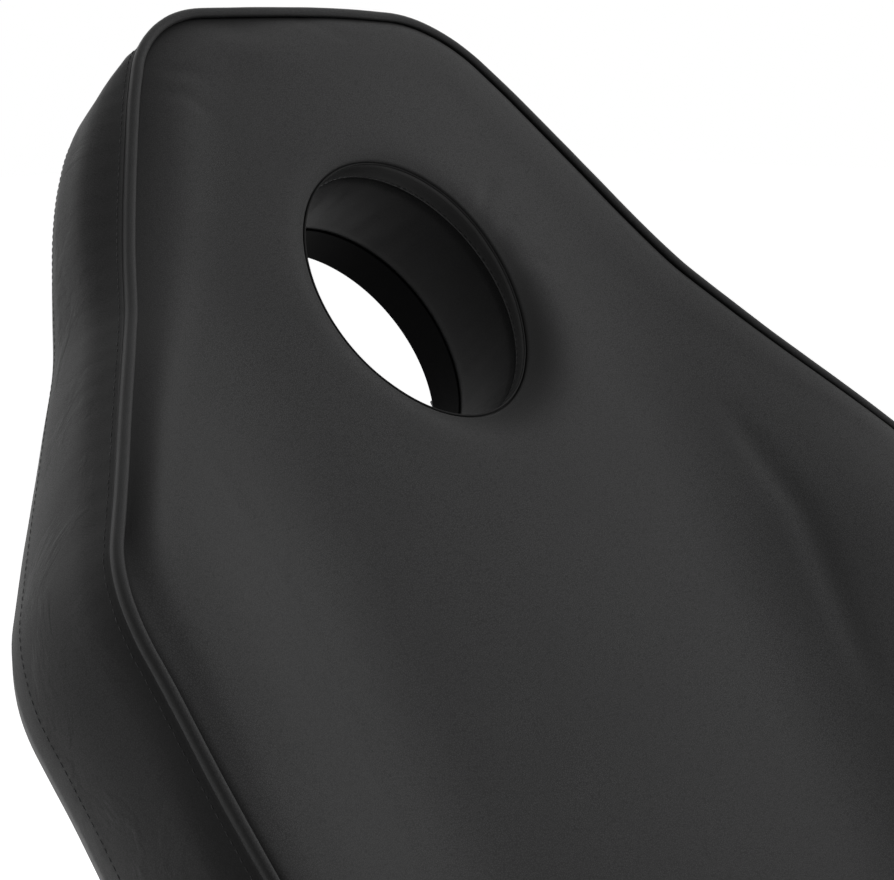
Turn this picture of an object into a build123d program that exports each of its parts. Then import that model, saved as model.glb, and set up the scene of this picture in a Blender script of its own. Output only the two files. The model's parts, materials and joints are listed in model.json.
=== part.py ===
from build123d import *

import os
from math import cos, radians, sin

os.makedirs("parts", exist_ok=True)

# A beauty chair with a face hole in its backrest, on a pumped pedestal.
# Sizes are in millimetres. The chair faces -Y, +Z is up, and the origin is on
# the floor, on the swivel axis.

# Clearances that the whole chair shares
fit_gap = 0.3
running_gap = 0.05
overrun = 5.0

# Pose at rest, in degrees
backrest_angle = 55.4
backrest_highest_angle = 68.0
legrest_angle = 45.0
legrest_lowest_angle = 55.0

# Base
mat_radius = 296.0
mat_thickness = 4.0
base_radius = 310.0
base_flat_radius = 180.0
base_edge_height = 8.0
base_height = 18.0
base_rim_fillet = 3.0

# Pump
pump_flange_radius = 92.0
pump_flange_thickness = 8.0
pump_radius = 50.0
pump_bore_radius = 28.0
pump_floor = 10.0
pump_height = 228.0
pump_skirt_radius = 66.0
pump_skirt_height = 40.0
gland_radius = 41.0
gland_thickness = 12.0
gland_depth = 26.0
gland_chamfer = 3.0
ram_radius = 25.0
ram_inset = 12.0
spigot_radius = 20.0
spigot_length = 58.0
spigot_chamfer = 2.0
bolt_circle_radius = 78.0
bolt_count = 4
bolt_head_radius = 8.5
bolt_head_height = 6.5
bolt_radius = 5.0

# Pedal and the plunger that it lifts
pedal_pivot_y = 135.0
pedal_pivot_rise = 30.0
pedal_pin_radius = 5.0
pedal_pin_head_radius = 8.0
pedal_hub_radius = 12.0
pedal_hub_width = 27.4
pedal_ear_thickness = 6.0
pedal_ear_radius = 13.0
pedal_foot_thickness = 6.0
pedal_foot_length = 54.0
pedal_foot_width = 60.0
pedal_reach = 208.0
pedal_rise_angle = 5.0
pedal_arm_width = 22.0
pedal_arm_thickness = 12.0
pedal_plate_width = 110.0
pedal_plate_length = 62.0
pedal_plate_thickness = 5.0
pedal_arm_end_share = 0.25
pedal_corner_radius = 12.0
tread_thickness = 8.0
tread_inset = 3.0
tread_rib_count = 5
tread_groove_depth = 2.5
tread_groove_share = 0.4
nose_radius = 8.0
nose_reach = 43.0
plunger_radius = 7.0
plunger_length = 50.0
plunger_block_width = 40.0
plunger_block_wall = 12.0
plunger_block_height = 60.0
plunger_block_lift = 12.0
plunger_headroom = 14.0

# Swivel socket and its lock
socket_radius = 45.0
socket_wall_above = 10.0
socket_flange_width = 200.0
socket_flange_length = 330.0
socket_flange_thickness = 8.0
socket_corner_radius = 18.0
socket_web_thickness = 8.0
socket_web_reach = 88.0
lock_height_share = 0.42
lock_screw_radius = 5.0
lock_hub_radius = 10.0
lock_hub_length = 18.0
lock_arm_radius = 5.0
lock_arm_length = 78.0
lock_arm_rise_angle = 8.0
knob_radius = 13.0

# Seat frame
cross_member_size = 40.0
cross_member_wall = 2.5
cross_member_spacing = 280.0
mounting_bolt_spacing = 140.0
mounting_bolt_radius = 5.0
mounting_bolt_head_radius = 8.0
mounting_bolt_head_height = 6.0
side_plate_thickness = 5.0
side_plate_inner_x = 282.5
side_rail_height = 40.0
side_rail_front_y = -262.0
side_rail_rear_y = 250.0
ear_spread = 100.0
pivot_ear_radius = 25.0

# Pads that the three sections share
skin = 1.2
board_thickness = 20.0
board_inset = 40.0
wall_roll = 34.0
piping_radius = 3.5
rail_width = 40.0
rail_depth = 20.0
cross_tube_size = 25.0
tube_wall = 2.0
screw_radius = 2.5
screw_head_radius = 5.5
screw_head_height = 3.0
screw_bite = 12.0
back_cloth_thickness = 1.0
back_cloth_hole_growth = 8.0

# Seat pad
seat_top_z = 520.0
seat_thickness = 100.0
seat_front_y = -260.0
seat_rear_y = 260.0
seat_half_width = 262.0
seat_rise = 26.0
seat_crown = 7.0
seat_corner_radius = 46.0

# Backrest pad, from its lower end at the seat to the head
backrest_length = 760.0
backrest_thickness = 90.0
backrest_bottom_half_width = 262.0
backrest_waist_half_width = 268.0
backrest_waist_from_head = 540.0
backrest_shoulder_half_width = 300.0
backrest_shoulder_from_head = 345.0
backrest_neck_half_width = 198.0
backrest_neck_from_head = 185.0
backrest_head_half_width = 106.0
backrest_head_radius = 60.0
backrest_neck_radius = 200.0
backrest_shoulder_radius = 90.0
backrest_waist_radius = 400.0
backrest_bottom_radius = 45.0
backrest_rise = 40.0
backrest_crown = 5.0
hole_half_width = 71.3
hole_half_length = 78.2
hole_from_head = 182.0
lining_thickness = 1.5
backrest_board_thickness = 22.0

# Leg rest pad
legrest_length = 430.0
legrest_thickness = 74.0
legrest_top_half_width = 252.0
legrest_foot_half_width = 222.0
legrest_corner_radius = 42.0
legrest_crown = 8.0
legrest_board_thickness = 16.0
legrest_rise = 3.0
legrest_roll = 24.0

# Hinges between the sections
backrest_pivot_drop = 24.0
backrest_pivot_gap = 32.0
legrest_pivot_drop = 50.0
legrest_pivot_gap = 20.0
pivot_radius = 7.0
pivot_head_radius = 12.0
pivot_head_height = 7.0
pivot_nut_radius = 11.0
pivot_nut_height = 6.0
washer_radius = 16.0
arm_thickness = 5.0
arm_gap = 1.5
arm_hub_radius = 24.0
backrest_tube_spacing = 130.0
legrest_tube_spacing = 100.0
arm_bar_radius = 17.0
quadrant_radius = 70.0
quadrant_rim = 14.0
quadrant_steps = 4
slot_width = 10.8
slot_spare_angle = 4.0
backrest_stud_angle = -130.0
legrest_stud_angle = -40.0

# Clamp levers on the studs
stud_radius = 5.0
stud_head_radius = 10.0
stud_head_height = 5.5
clamp_hub_radius = 11.0
clamp_hub_length = 20.0
clamp_arm_radius = 5.0
clamp_arm_length = 92.0
clamp_arm_angle = 37.0
clamp_arm_splay_angle = 12.0
stud_end_height = 4.0
stud_end_radius = 8.5

# Armrests
armrest_pivot_y = 190.0
armrest_pivot_z = 650.0
post_thickness = 8.0
post_width = 40.0
post_foot_y = 150.0
post_bend_rise = 70.0
post_end_radius = 22.0
stop_pin_radius = 4.0
stop_pin_setback = 18.0
stop_pin_length = 6.5
armrest_bolt_radius = 6.0
armrest_bolt_head_radius = 10.0
armrest_bolt_head_height = 6.0
armrest_web_thickness = 6.0
armrest_web_height = 32.0
armrest_web_gap = 0.5
armrest_web_tail_radius = 20.0
armrest_flange_thickness = 6.0
armrest_flange_width = 74.0
armrest_front_y = -195.0
armrest_pad_front_y = -206.0
armrest_pad_rear_y = 166.0
armrest_pad_width = 90.0
armrest_pad_height = 48.0
armrest_pad_offset = 12.0
armrest_pad_corner_radius = 34.0
armrest_pad_crown = 7.0
armrest_pad_rise = 2.0
armrest_pad_roll = 9.0
armrest_pad_open_inset = 16.0

# Shares of the sizes that they follow, chosen by hand
wall_height_shares = (0.0, 0.07, 0.18, 0.4, 0.7, 1.0)
wall_growth_shares = (-1.0, -0.5, -0.03, 0.12, 0.1, 0.04)
crown_curve_share = 0.75
bolster_foot_share = 0.58
bolster_middle_share = 0.71
bolster_crest_share = 0.86
bolster_edge_share = 1.16
bolster_foot_curve_share = 0.12
bolster_crest_curve_share = 0.9
bolster_edge_drop_share = 0.1
bolster_outer_curve_share = 0.33
rail_start_share = 0.04
rail_end_share = -0.2
backrest_screw_shares = (0.16, 0.55, 0.94)
legrest_screw_shares = (0.08, 0.4, 0.78)
legrest_rail_share = 0.55
legrest_rail_end_share = 0.84
backrest_station_shares = (-0.03, 0.05, 0.13, 0.22, 0.42, 0.52, 0.6, 0.67, 0.74, 0.82, 0.92, 1.03)
backrest_rise_shares = (0.05, 0.1, 0.45, 0.96, 1.0, 0.98, 0.86, 0.65, 0.44, 0.2, 0.08, 0.05)
seat_station_shares = (-0.05, 0.08, 0.25, 0.5, 0.72, 0.9, 1.05)
seat_rise_shares = (0.08, 0.2, 0.75, 1.0, 0.85, 0.25, 0.08)

# Heights and places worked out from the sizes above
base_top_z = mat_thickness + base_height
pump_base_z = base_top_z + pump_flange_thickness
pump_top_z = base_top_z + pump_height
seat_board_z = seat_top_z - seat_thickness
cross_member_z = seat_board_z - cross_member_size
socket_flange_z = cross_member_z - socket_flange_thickness
spigot_top_z = socket_flange_z - socket_wall_above
shoulder_z = spigot_top_z - spigot_length
socket_bottom_z = shoulder_z + fit_gap
ram_bottom_z = base_top_z + pump_floor + ram_inset
pedal_pivot_z = base_top_z + pedal_pivot_rise
plunger_y = pedal_pivot_y - nose_reach
plunger_z = pedal_pivot_z + nose_radius + fit_gap
side_plate_outer_x = side_plate_inner_x + side_plate_thickness
arm_outer_x = side_plate_inner_x - arm_gap
arm_inner_x = arm_outer_x - arm_thickness
side_rail_z = cross_member_z + cross_member_size / 2
backrest_pivot = (seat_rear_y + backrest_pivot_gap, seat_top_z - backrest_pivot_drop)
legrest_pivot = (seat_front_y - legrest_pivot_gap, seat_top_z - legrest_pivot_drop)


def polar(centre, radius, angle):
    """A point at a radius and an angle from another, in the side view."""
    turn = radians(angle)
    return (centre[0] + radius * cos(turn), centre[1] + radius * sin(turn))


backrest_end = polar(
    polar(backrest_pivot, backrest_pivot_gap, backrest_angle),
    backrest_pivot_drop,
    backrest_angle + 90,
)
backrest_plane = Plane(
    origin=(0, backrest_end[0], backrest_end[1]),
    x_dir=(1, 0, 0),
    z_dir=(0, -sin(radians(backrest_angle)), cos(radians(backrest_angle))),
)
legrest_end = polar(
    polar(legrest_pivot, -legrest_pivot_gap, legrest_angle),
    legrest_pivot_drop,
    legrest_angle + 90,
)
legrest_plane = Plane(
    origin=(0, legrest_end[0], legrest_end[1]),
    x_dir=(1, 0, 0),
    z_dir=(0, -sin(radians(legrest_angle)), cos(radians(legrest_angle))),
)
seat_plane = Plane.XY.offset(seat_top_z)
backrest_stud = polar(backrest_pivot, quadrant_radius, backrest_stud_angle)
legrest_stud = polar(legrest_pivot, quadrant_radius, legrest_stud_angle)

seat_screw_places = [
    (x, y)
    for x in (-seat_half_width / 2, seat_half_width / 2)
    for y in (-cross_member_spacing / 2, cross_member_spacing / 2)
]

# Right-hand corners of each pad's outline, from the foot end to the head end
seat_corners = [(seat_half_width, seat_front_y), (seat_half_width, seat_rear_y)]
seat_radii = [seat_corner_radius, seat_corner_radius]
backrest_corners = [
    (backrest_bottom_half_width, 0),
    (backrest_waist_half_width, backrest_length - backrest_waist_from_head),
    (backrest_shoulder_half_width, backrest_length - backrest_shoulder_from_head),
    (backrest_neck_half_width, backrest_length - backrest_neck_from_head),
    (backrest_head_half_width, backrest_length),
]
backrest_radii = [
    backrest_bottom_radius,
    backrest_waist_radius,
    backrest_shoulder_radius,
    backrest_neck_radius,
    backrest_head_radius,
]
legrest_corners = [(legrest_foot_half_width, -legrest_length), (legrest_top_half_width, 0)]
legrest_radii = [legrest_corner_radius, legrest_corner_radius]
hole_y = backrest_length - hole_from_head

# Rises of each pad's side bolsters, as stations along it and heights there
seat_length = seat_rear_y - seat_front_y
seat_stations = [
    (seat_front_y + seat_length * place, seat_rise * share)
    for place, share in zip(seat_station_shares, seat_rise_shares)
]
backrest_stations = [
    (backrest_length * place, backrest_rise * share)
    for place, share in zip(backrest_station_shares, backrest_rise_shares)
]


def outline(corners, radii, growth=0):
    """A pad's symmetric outline, with every corner rounded, grown evenly."""
    left = [(-x, y) for x, y in reversed(corners)]
    with BuildLine() as edge:
        FilletPolyline(*corners, *left, radius=radii + radii[::-1], close=True)
    make_face(edge.edges())
    if growth:
        offset(amount=growth)


def section_plane(plane, y):
    """The upright plane across a pad at one place along it."""
    return Plane(origin=plane.from_local_coords((0, y, 0)), x_dir=plane.x_dir, z_dir=-plane.y_dir)


def bolster_profile(half_width, rise, crown, depth, lift):
    """A pad's cross section under its top face: crowned middle and raised sides."""
    foot = half_width * bolster_foot_share
    middle = half_width * bolster_middle_share
    crest = half_width * bolster_crest_share
    edge = half_width * bolster_edge_share
    drop = rise * bolster_edge_drop_share
    waist = (middle, lift + rise / 2)
    peak = (crest, lift + rise)
    rim = (edge, lift + rise - drop)
    low = ((foot + middle) / 2, lift + rise * bolster_foot_curve_share)
    high = ((middle + crest) / 2, lift + rise * bolster_crest_curve_share)
    outer = ((crest + edge) / 2, lift + rise - drop * bolster_outer_curve_share)
    with BuildLine() as profile:
        ThreePointArc((0, lift + crown), (foot / 2, lift + crown * crown_curve_share), (foot, lift))
        ThreePointArc((foot, lift), low, waist)
        ThreePointArc(waist, high, peak)
        ThreePointArc(peak, outer, rim)
        Polyline(rim, (edge, -depth), (0, -depth))
        mirror(about=Plane.YZ)
    make_face(profile.edges())


def pad_walls(pad, growth, mode=Mode.ADD):
    """The bulged side walls of a pad, which roll under towards its back."""
    height = pad["thickness"] + pad["rise"] + overrun
    sections = []
    for place, share in zip(wall_height_shares, wall_growth_shares):
        with BuildSketch(pad["plane"].offset(height * place - pad["thickness"])) as section:
            outline(pad["corners"], pad["radii"], pad["roll"] * share + growth)
        sections.append(section.sketch)
    loft(sections, mode=mode)


def pad_top(pad, lift, mode=Mode.INTERSECT):
    """Everything under a pad's top face, with its crown and its raised sides."""
    depth = pad["thickness"] + overrun
    sections = []
    for y, rise in pad["stations"]:
        with BuildSketch(section_plane(pad["plane"], y)) as section:
            bolster_profile(pad["half_width"], rise, pad["crown"], depth, lift)
        sections.append(section.sketch)
    loft(sections, mode=mode)


def cushion(pad, inset):
    """A pad's whole form, drawn in by an inset."""
    pad_walls(pad, -inset)
    pad_top(pad, -inset)


def piping(pad):
    """The welt along the edge between a pad's top and its side walls."""
    pad_walls(pad, piping_radius)
    pad_top(pad, piping_radius)
    pad_walls(pad, -piping_radius, mode=Mode.SUBTRACT)
    pad_top(pad, -piping_radius, mode=Mode.SUBTRACT)


def slab(pad, top, bottom, inset, mode=Mode.ADD):
    """A flat piece of a pad's outline between two depths under its top plane."""
    with BuildSketch(pad["plane"].offset(-bottom)) as section:
        outline(pad["corners"], pad["radii"], -inset)
    extrude(section.sketch, amount=bottom - top, mode=mode)


def face_hole(growth, top, bottom, mode=Mode.SUBTRACT):
    """The oval face hole, grown by a wall, between two heights over the top plane."""
    with BuildSketch(backrest_plane.offset(bottom)) as section:
        with Locations((0, hole_y)):
            Ellipse(hole_half_width + growth, hole_half_length + growth)
    extrude(section.sketch, amount=top - bottom, mode=mode)


def pad_core(pad):
    """The room inside a pad's skin, open at the back within the skin's turned-in edge."""
    cushion(pad, skin)
    slab(pad, -pad["headroom"], pad["thickness"] - skin, -pad["roll"], mode=Mode.INTERSECT)
    slab(pad, pad["thickness"] / 2, pad["thickness"] + overrun, pad["board_inset"])


def pad_foam(pad):
    """A pad's foam, which wraps the edge of its board."""
    cushion(pad, skin + fit_gap)
    back = pad["thickness"] - skin - fit_gap
    slab(pad, -pad["headroom"], back, -pad["roll"], mode=Mode.INTERSECT)
    slab(
        pad,
        pad["thickness"] - pad["board_thickness"],
        pad["thickness"] + overrun,
        pad["board_inset"] - fit_gap,
        mode=Mode.SUBTRACT,
    )


def pad_board(pad):
    """A pad's plywood board."""
    slab(pad, pad["thickness"] - pad["board_thickness"], pad["thickness"], pad["board_inset"] + fit_gap)


def pad_screws(pad, places):
    """Wood screws that hold a pad's board to its frame, driven in from behind."""
    for radius, low, high in (
        (screw_head_radius, -screw_head_height, 0),
        (screw_radius, 0, pad["screw_standoff"] + screw_bite),
    ):
        height = low - pad["thickness"] - pad["screw_standoff"]
        with BuildSketch(pad["plane"].offset(height)) as section:
            with Locations(*places):
                Circle(radius)
        extrude(section.sketch, amount=high - low)


def screw_holes(pad, places):
    """The holes that a pad's wood screws pass through."""
    with BuildSketch(pad["plane"].offset(-pad["thickness"] - pad["screw_standoff"])) as section:
        with Locations(*places):
            Circle(screw_radius + running_gap)
    extrude(section.sketch, amount=pad["screw_standoff"] + screw_bite, mode=Mode.SUBTRACT)


def cross_disc(x_from, x_to, centre, radius, hole_radius=0):
    """A disc or ring on a cross axis."""
    with BuildSketch(Plane.YZ.offset(x_from)) as section:
        with Locations(centre):
            Circle(radius)
            if hole_radius:
                Circle(hole_radius, mode=Mode.SUBTRACT)
    extrude(section.sketch, amount=x_to - x_from)


seat_pad = dict(
    plane=seat_plane,
    corners=seat_corners,
    radii=seat_radii,
    roll=wall_roll,
    thickness=seat_thickness,
    rise=seat_rise,
    headroom=seat_rise + seat_crown + overrun,
    stations=seat_stations,
    half_width=seat_half_width,
    crown=seat_crown,
    board_thickness=board_thickness,
    board_inset=board_inset,
    screw_standoff=cross_member_wall,
)
backrest_pad = dict(
    plane=backrest_plane,
    corners=backrest_corners,
    radii=backrest_radii,
    roll=wall_roll,
    thickness=backrest_thickness,
    rise=backrest_rise,
    headroom=backrest_rise + backrest_crown + overrun,
    stations=backrest_stations,
    half_width=backrest_shoulder_half_width,
    crown=backrest_crown,
    board_thickness=backrest_board_thickness,
    board_inset=board_inset,
    screw_standoff=back_cloth_thickness + rail_depth,
)
legrest_pad = dict(
    plane=legrest_plane,
    corners=legrest_corners,
    radii=legrest_radii,
    roll=legrest_roll,
    thickness=legrest_thickness,
    rise=legrest_rise,
    headroom=legrest_rise + legrest_crown + overrun,
    stations=[(-legrest_length - overrun, legrest_rise), (overrun, legrest_rise)],
    half_width=legrest_top_half_width,
    crown=legrest_crown,
    board_thickness=legrest_board_thickness,
    board_inset=board_inset,
    screw_standoff=rail_depth,
)

# Base: rubber mat, domed steel disc and pump

with BuildPart() as base_mat:
    with BuildSketch(Plane.XY):
        Circle(mat_radius)
    extrude(amount=mat_thickness)
base_mat.part.label = "base_mat"
export_step(base_mat.part, "parts/base_mat.step")

with BuildPart() as base_plate:
    with BuildSketch(Plane.XZ):
        with BuildLine():
            Polyline(
                (0, mat_thickness),
                (base_radius, mat_thickness),
                (base_radius, mat_thickness + base_edge_height),
                (base_flat_radius, base_top_z),
                (0, base_top_z),
                close=True,
            )
        make_face()
    revolve(axis=Axis.Z)
    fillet(base_plate.edges().filter_by(GeomType.CIRCLE).sort_by(SortBy.RADIUS)[-2:], base_rim_fillet)
base_plate.part.label = "base_plate"
export_step(base_plate.part, "parts/base_plate.step")

with BuildPart() as pump_cylinder:
    with BuildSketch(Plane.XY.offset(base_top_z)):
        Circle(pump_flange_radius)
    extrude(amount=pump_flange_thickness)
    with BuildSketch(Plane.XY.offset(base_top_z)):
        Circle(pump_radius)
    extrude(amount=pump_height)
    with BuildSketch(Plane.XZ):
        with BuildLine():
            Polyline(
                (0, pump_base_z),
                (pump_skirt_radius, pump_base_z),
                (pump_radius, pump_base_z + pump_skirt_height),
                (0, pump_base_z + pump_skirt_height),
                close=True,
            )
        make_face()
    revolve(axis=Axis.Z)
    with BuildSketch(Plane.XY.offset(plunger_z + plunger_block_lift)):
        with Locations((0, plunger_y / 2 + plunger_block_wall / 2)):
            Rectangle(plunger_block_width, plunger_y + plunger_block_wall)
    extrude(amount=plunger_block_height)
    with BuildSketch(Plane.XY.offset(base_top_z + pump_floor)):
        Circle(pump_bore_radius)
    extrude(amount=pump_height, mode=Mode.SUBTRACT)
    with BuildSketch(Plane.XY.offset(plunger_z)):
        with Locations((0, plunger_y)):
            Circle(plunger_radius + running_gap)
    extrude(amount=plunger_length + plunger_headroom, mode=Mode.SUBTRACT)
    with BuildSketch(Plane.XY.offset(base_top_z)):
        with PolarLocations(bolt_circle_radius, bolt_count, 180 / bolt_count):
            Circle(bolt_radius + running_gap)
    extrude(amount=pump_flange_thickness, mode=Mode.SUBTRACT)
    with BuildSketch(Plane.XY.offset(base_top_z)):
        with Locations((0, plunger_y + nose_radius)):
            Rectangle(pedal_hub_width + 2 * fit_gap, 2 * nose_reach)
    extrude(amount=plunger_z + plunger_block_lift - base_top_z, mode=Mode.SUBTRACT)
pump_cylinder.part.label = "pump_cylinder"
export_step(pump_cylinder.part, "parts/pump_cylinder.step")

with BuildPart() as pump_gland:
    with BuildSketch(Plane.XY.offset(pump_top_z)):
        Circle(gland_radius)
    extrude(amount=gland_thickness)
    fillet(pump_gland.edges().filter_by(GeomType.CIRCLE).sort_by(Axis.Z)[-1:], gland_chamfer)
    with BuildSketch(Plane.XY.offset(pump_top_z - gland_depth)):
        Circle(pump_bore_radius - running_gap)
    extrude(amount=gland_depth)
    with BuildSketch(Plane.XY.offset(pump_top_z - gland_depth)):
        Circle(ram_radius + running_gap)
    extrude(amount=gland_depth + gland_thickness, mode=Mode.SUBTRACT)
pump_gland.part.label = "pump_gland"
export_step(pump_gland.part, "parts/pump_gland.step")

with BuildPart() as base_bolts:
    with BuildSketch(Plane.XY.offset(base_top_z)):
        with PolarLocations(bolt_circle_radius, bolt_count, 180 / bolt_count):
            Circle(bolt_radius)
    extrude(amount=pump_flange_thickness)
    with BuildSketch(Plane.XY.offset(pump_base_z)):
        with PolarLocations(bolt_circle_radius, bolt_count, 180 / bolt_count):
            RegularPolygon(bolt_head_radius, 6)
    extrude(amount=bolt_head_height)
base_bolts.part.label = "base_bolts"
export_step(base_bolts.part, "parts/base_bolts.step")

with BuildPart() as lift_ram:
    with BuildSketch(Plane.XY.offset(ram_bottom_z)):
        Circle(ram_radius)
    extrude(amount=shoulder_z - ram_bottom_z)
    with BuildSketch(Plane.XY.offset(shoulder_z)):
        Circle(spigot_radius)
    extrude(amount=spigot_length)
    chamfer(lift_ram.edges().filter_by(GeomType.CIRCLE).sort_by(Axis.Z)[-1:], spigot_chamfer)
lift_ram.part.label = "lift_ram"
export_step(lift_ram.part, "parts/lift_ram.step")

# Foot pedal: bracket, pin, arm with its round nose, tread and the plunger it lifts

ear_inner_x = pedal_hub_width / 2 + fit_gap
ear_outer_x = ear_inner_x + pedal_ear_thickness

with BuildPart() as pedal_bracket:
    with BuildSketch(Plane.XY.offset(base_top_z)):
        with Locations((0, pedal_pivot_y)):
            RectangleRounded(pedal_foot_width, pedal_foot_length, pedal_ear_thickness)
    extrude(amount=pedal_foot_thickness)
    for side in (-1, 1):
        with BuildSketch(Plane.YZ.offset(side * (ear_inner_x + ear_outer_x) / 2)):
            with Locations((pedal_pivot_y, pedal_pivot_z)):
                Circle(pedal_ear_radius)
            with BuildLine():
                Polyline(
                    (pedal_pivot_y - pedal_ear_radius, pedal_pivot_z),
                    (pedal_pivot_y - pedal_ear_radius, base_top_z + pedal_foot_thickness / 2),
                    (pedal_pivot_y + pedal_ear_radius, base_top_z + pedal_foot_thickness / 2),
                    (pedal_pivot_y + pedal_ear_radius, pedal_pivot_z),
                    close=True,
                )
            make_face()
            with Locations((pedal_pivot_y, pedal_pivot_z)):
                Circle(pedal_pin_radius + running_gap, mode=Mode.SUBTRACT)
        extrude(amount=pedal_ear_thickness / 2, both=True)
    with BuildSketch(Plane.XY.offset(base_top_z)):
        Circle(pump_flange_radius + fit_gap)
    extrude(amount=pump_flange_thickness, mode=Mode.SUBTRACT)
pedal_bracket.part.label = "pedal_bracket"
export_step(pedal_bracket.part, "parts/pedal_bracket.step")

with BuildPart() as pedal_pin:
    pin_end = ear_outer_x + pedal_ear_thickness / 2
    cross_disc(-pin_end, pin_end, (pedal_pivot_y, pedal_pivot_z), pedal_pin_radius)
    cross_disc(ear_outer_x, pin_end, (pedal_pivot_y, pedal_pivot_z), pedal_pin_head_radius)
    cross_disc(-pin_end, -ear_outer_x, (pedal_pivot_y, pedal_pivot_z), pedal_pin_head_radius)
pedal_pin.part.label = "pedal_pin"
export_step(pedal_pin.part, "parts/pedal_pin.step")

pedal_tip = polar((pedal_pivot_y, pedal_pivot_z), pedal_reach, pedal_rise_angle)
plate_start_y = pedal_tip[0] - pedal_plate_length / 2
arm_end_y = pedal_tip[0] + pedal_plate_length * pedal_arm_end_share

with BuildPart() as pedal_arm:
    cross_disc(
        -pedal_hub_width / 2,
        pedal_hub_width / 2,
        (pedal_pivot_y, pedal_pivot_z),
        pedal_hub_radius,
    )
    cross_disc(-pedal_arm_width / 2, pedal_arm_width / 2, (plunger_y, pedal_pivot_z), nose_radius)
    with BuildSketch(Plane.YZ):
        with BuildLine():
            Polyline(
                (plunger_y, pedal_pivot_z - pedal_arm_thickness / 2),
                (pedal_pivot_y, pedal_pivot_z - pedal_arm_thickness / 2),
                (plate_start_y, pedal_tip[1] - pedal_arm_thickness),
                (arm_end_y, pedal_tip[1] - pedal_arm_thickness / 2),
                (arm_end_y, pedal_tip[1]),
                (plate_start_y, pedal_tip[1]),
                (pedal_pivot_y, pedal_pivot_z + pedal_arm_thickness / 2),
                (plunger_y, pedal_pivot_z + pedal_arm_thickness / 2),
                close=True,
            )
        make_face()
    extrude(amount=pedal_arm_width / 2, both=True)
    with BuildSketch(Plane.XY.offset(pedal_tip[1])):
        with Locations((0, pedal_tip[0])):
            RectangleRounded(pedal_plate_width, pedal_plate_length, pedal_corner_radius)
    extrude(amount=pedal_plate_thickness)
    with BuildSketch(Plane.YZ.offset(-pedal_hub_width / 2)):
        with Locations((pedal_pivot_y, pedal_pivot_z)):
            Circle(pedal_pin_radius + running_gap)
    extrude(amount=pedal_hub_width, mode=Mode.SUBTRACT)
pedal_arm.part.label = "pedal_arm"
export_step(pedal_arm.part, "parts/pedal_arm.step")

with BuildPart() as pedal_tread:
    tread_z = pedal_tip[1] + pedal_plate_thickness
    tread_length = pedal_plate_length - 2 * tread_inset
    with BuildSketch(Plane.XY.offset(tread_z)):
        with Locations((0, pedal_tip[0])):
            RectangleRounded(
                pedal_plate_width - 2 * tread_inset, tread_length, pedal_corner_radius - tread_inset
            )
    extrude(amount=tread_thickness)
    rib_pitch = tread_length / (tread_rib_count + 1)
    with BuildSketch(Plane.XY.offset(tread_z + tread_thickness - tread_groove_depth)):
        with Locations((0, pedal_tip[0])):
            with GridLocations(0, rib_pitch, 1, tread_rib_count):
                Rectangle(pedal_plate_width, rib_pitch * tread_groove_share)
    extrude(amount=tread_groove_depth, mode=Mode.SUBTRACT)
pedal_tread.part.label = "pedal_tread"
export_step(pedal_tread.part, "parts/pedal_tread.step")

with BuildPart() as pump_plunger:
    with BuildSketch(Plane.XY.offset(plunger_z)):
        with Locations((0, plunger_y)):
            Circle(plunger_radius)
    extrude(amount=plunger_length)
pump_plunger.part.label = "pump_plunger"
export_step(pump_plunger.part, "parts/pump_plunger.step")

# Swivel socket under the seat, its bolts and its lock

lock_z = socket_bottom_z + (socket_flange_z - socket_bottom_z) * lock_height_share

with BuildPart() as swivel_socket:
    with BuildSketch(Plane.XY.offset(socket_bottom_z)):
        Circle(socket_radius)
    extrude(amount=socket_flange_z - socket_bottom_z)
    with BuildSketch(Plane.XY.offset(socket_flange_z)):
        RectangleRounded(socket_flange_width, socket_flange_length, socket_corner_radius)
    extrude(amount=socket_flange_thickness)
    with BuildSketch(Plane.YZ):
        with BuildLine():
            Polyline(
                (-socket_web_reach, socket_flange_z),
                (-socket_radius / 2, socket_bottom_z),
                (socket_radius / 2, socket_bottom_z),
                (socket_web_reach, socket_flange_z),
                close=True,
            )
        make_face()
    extrude(amount=socket_web_thickness / 2, both=True)
    with BuildSketch(Plane.XY.offset(socket_bottom_z)):
        Circle(spigot_radius + running_gap)
    extrude(amount=spigot_top_z + fit_gap - socket_bottom_z, mode=Mode.SUBTRACT)
    with BuildSketch(Plane.YZ):
        with Locations((0, lock_z)):
            Circle(lock_screw_radius + running_gap)
    extrude(amount=socket_radius, mode=Mode.SUBTRACT)
    with BuildSketch(Plane.XY.offset(socket_flange_z)):
        with GridLocations(mounting_bolt_spacing, cross_member_spacing, 2, 2):
            Circle(mounting_bolt_radius + running_gap)
    extrude(amount=socket_flange_thickness, mode=Mode.SUBTRACT)
swivel_socket.part.label = "swivel_socket"
export_step(swivel_socket.part, "parts/swivel_socket.step")

with BuildPart() as mounting_bolts:
    with BuildSketch(Plane.XY.offset(socket_flange_z - mounting_bolt_head_height)):
        with GridLocations(mounting_bolt_spacing, cross_member_spacing, 2, 2):
            RegularPolygon(mounting_bolt_head_radius, 6)
    extrude(amount=mounting_bolt_head_height)
    with BuildSketch(Plane.XY.offset(socket_flange_z)):
        with GridLocations(mounting_bolt_spacing, cross_member_spacing, 2, 2):
            Circle(mounting_bolt_radius)
    extrude(amount=socket_flange_thickness + cross_member_wall)
mounting_bolts.part.label = "mounting_bolts"
export_step(mounting_bolts.part, "parts/mounting_bolts.step")

lock_inner_x = spigot_radius + running_gap + fit_gap
lock_hub_x = socket_radius + fit_gap
lock_hub_end_x = lock_hub_x + lock_hub_length
lock_arm_x = lock_hub_x + lock_hub_length / 2

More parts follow.
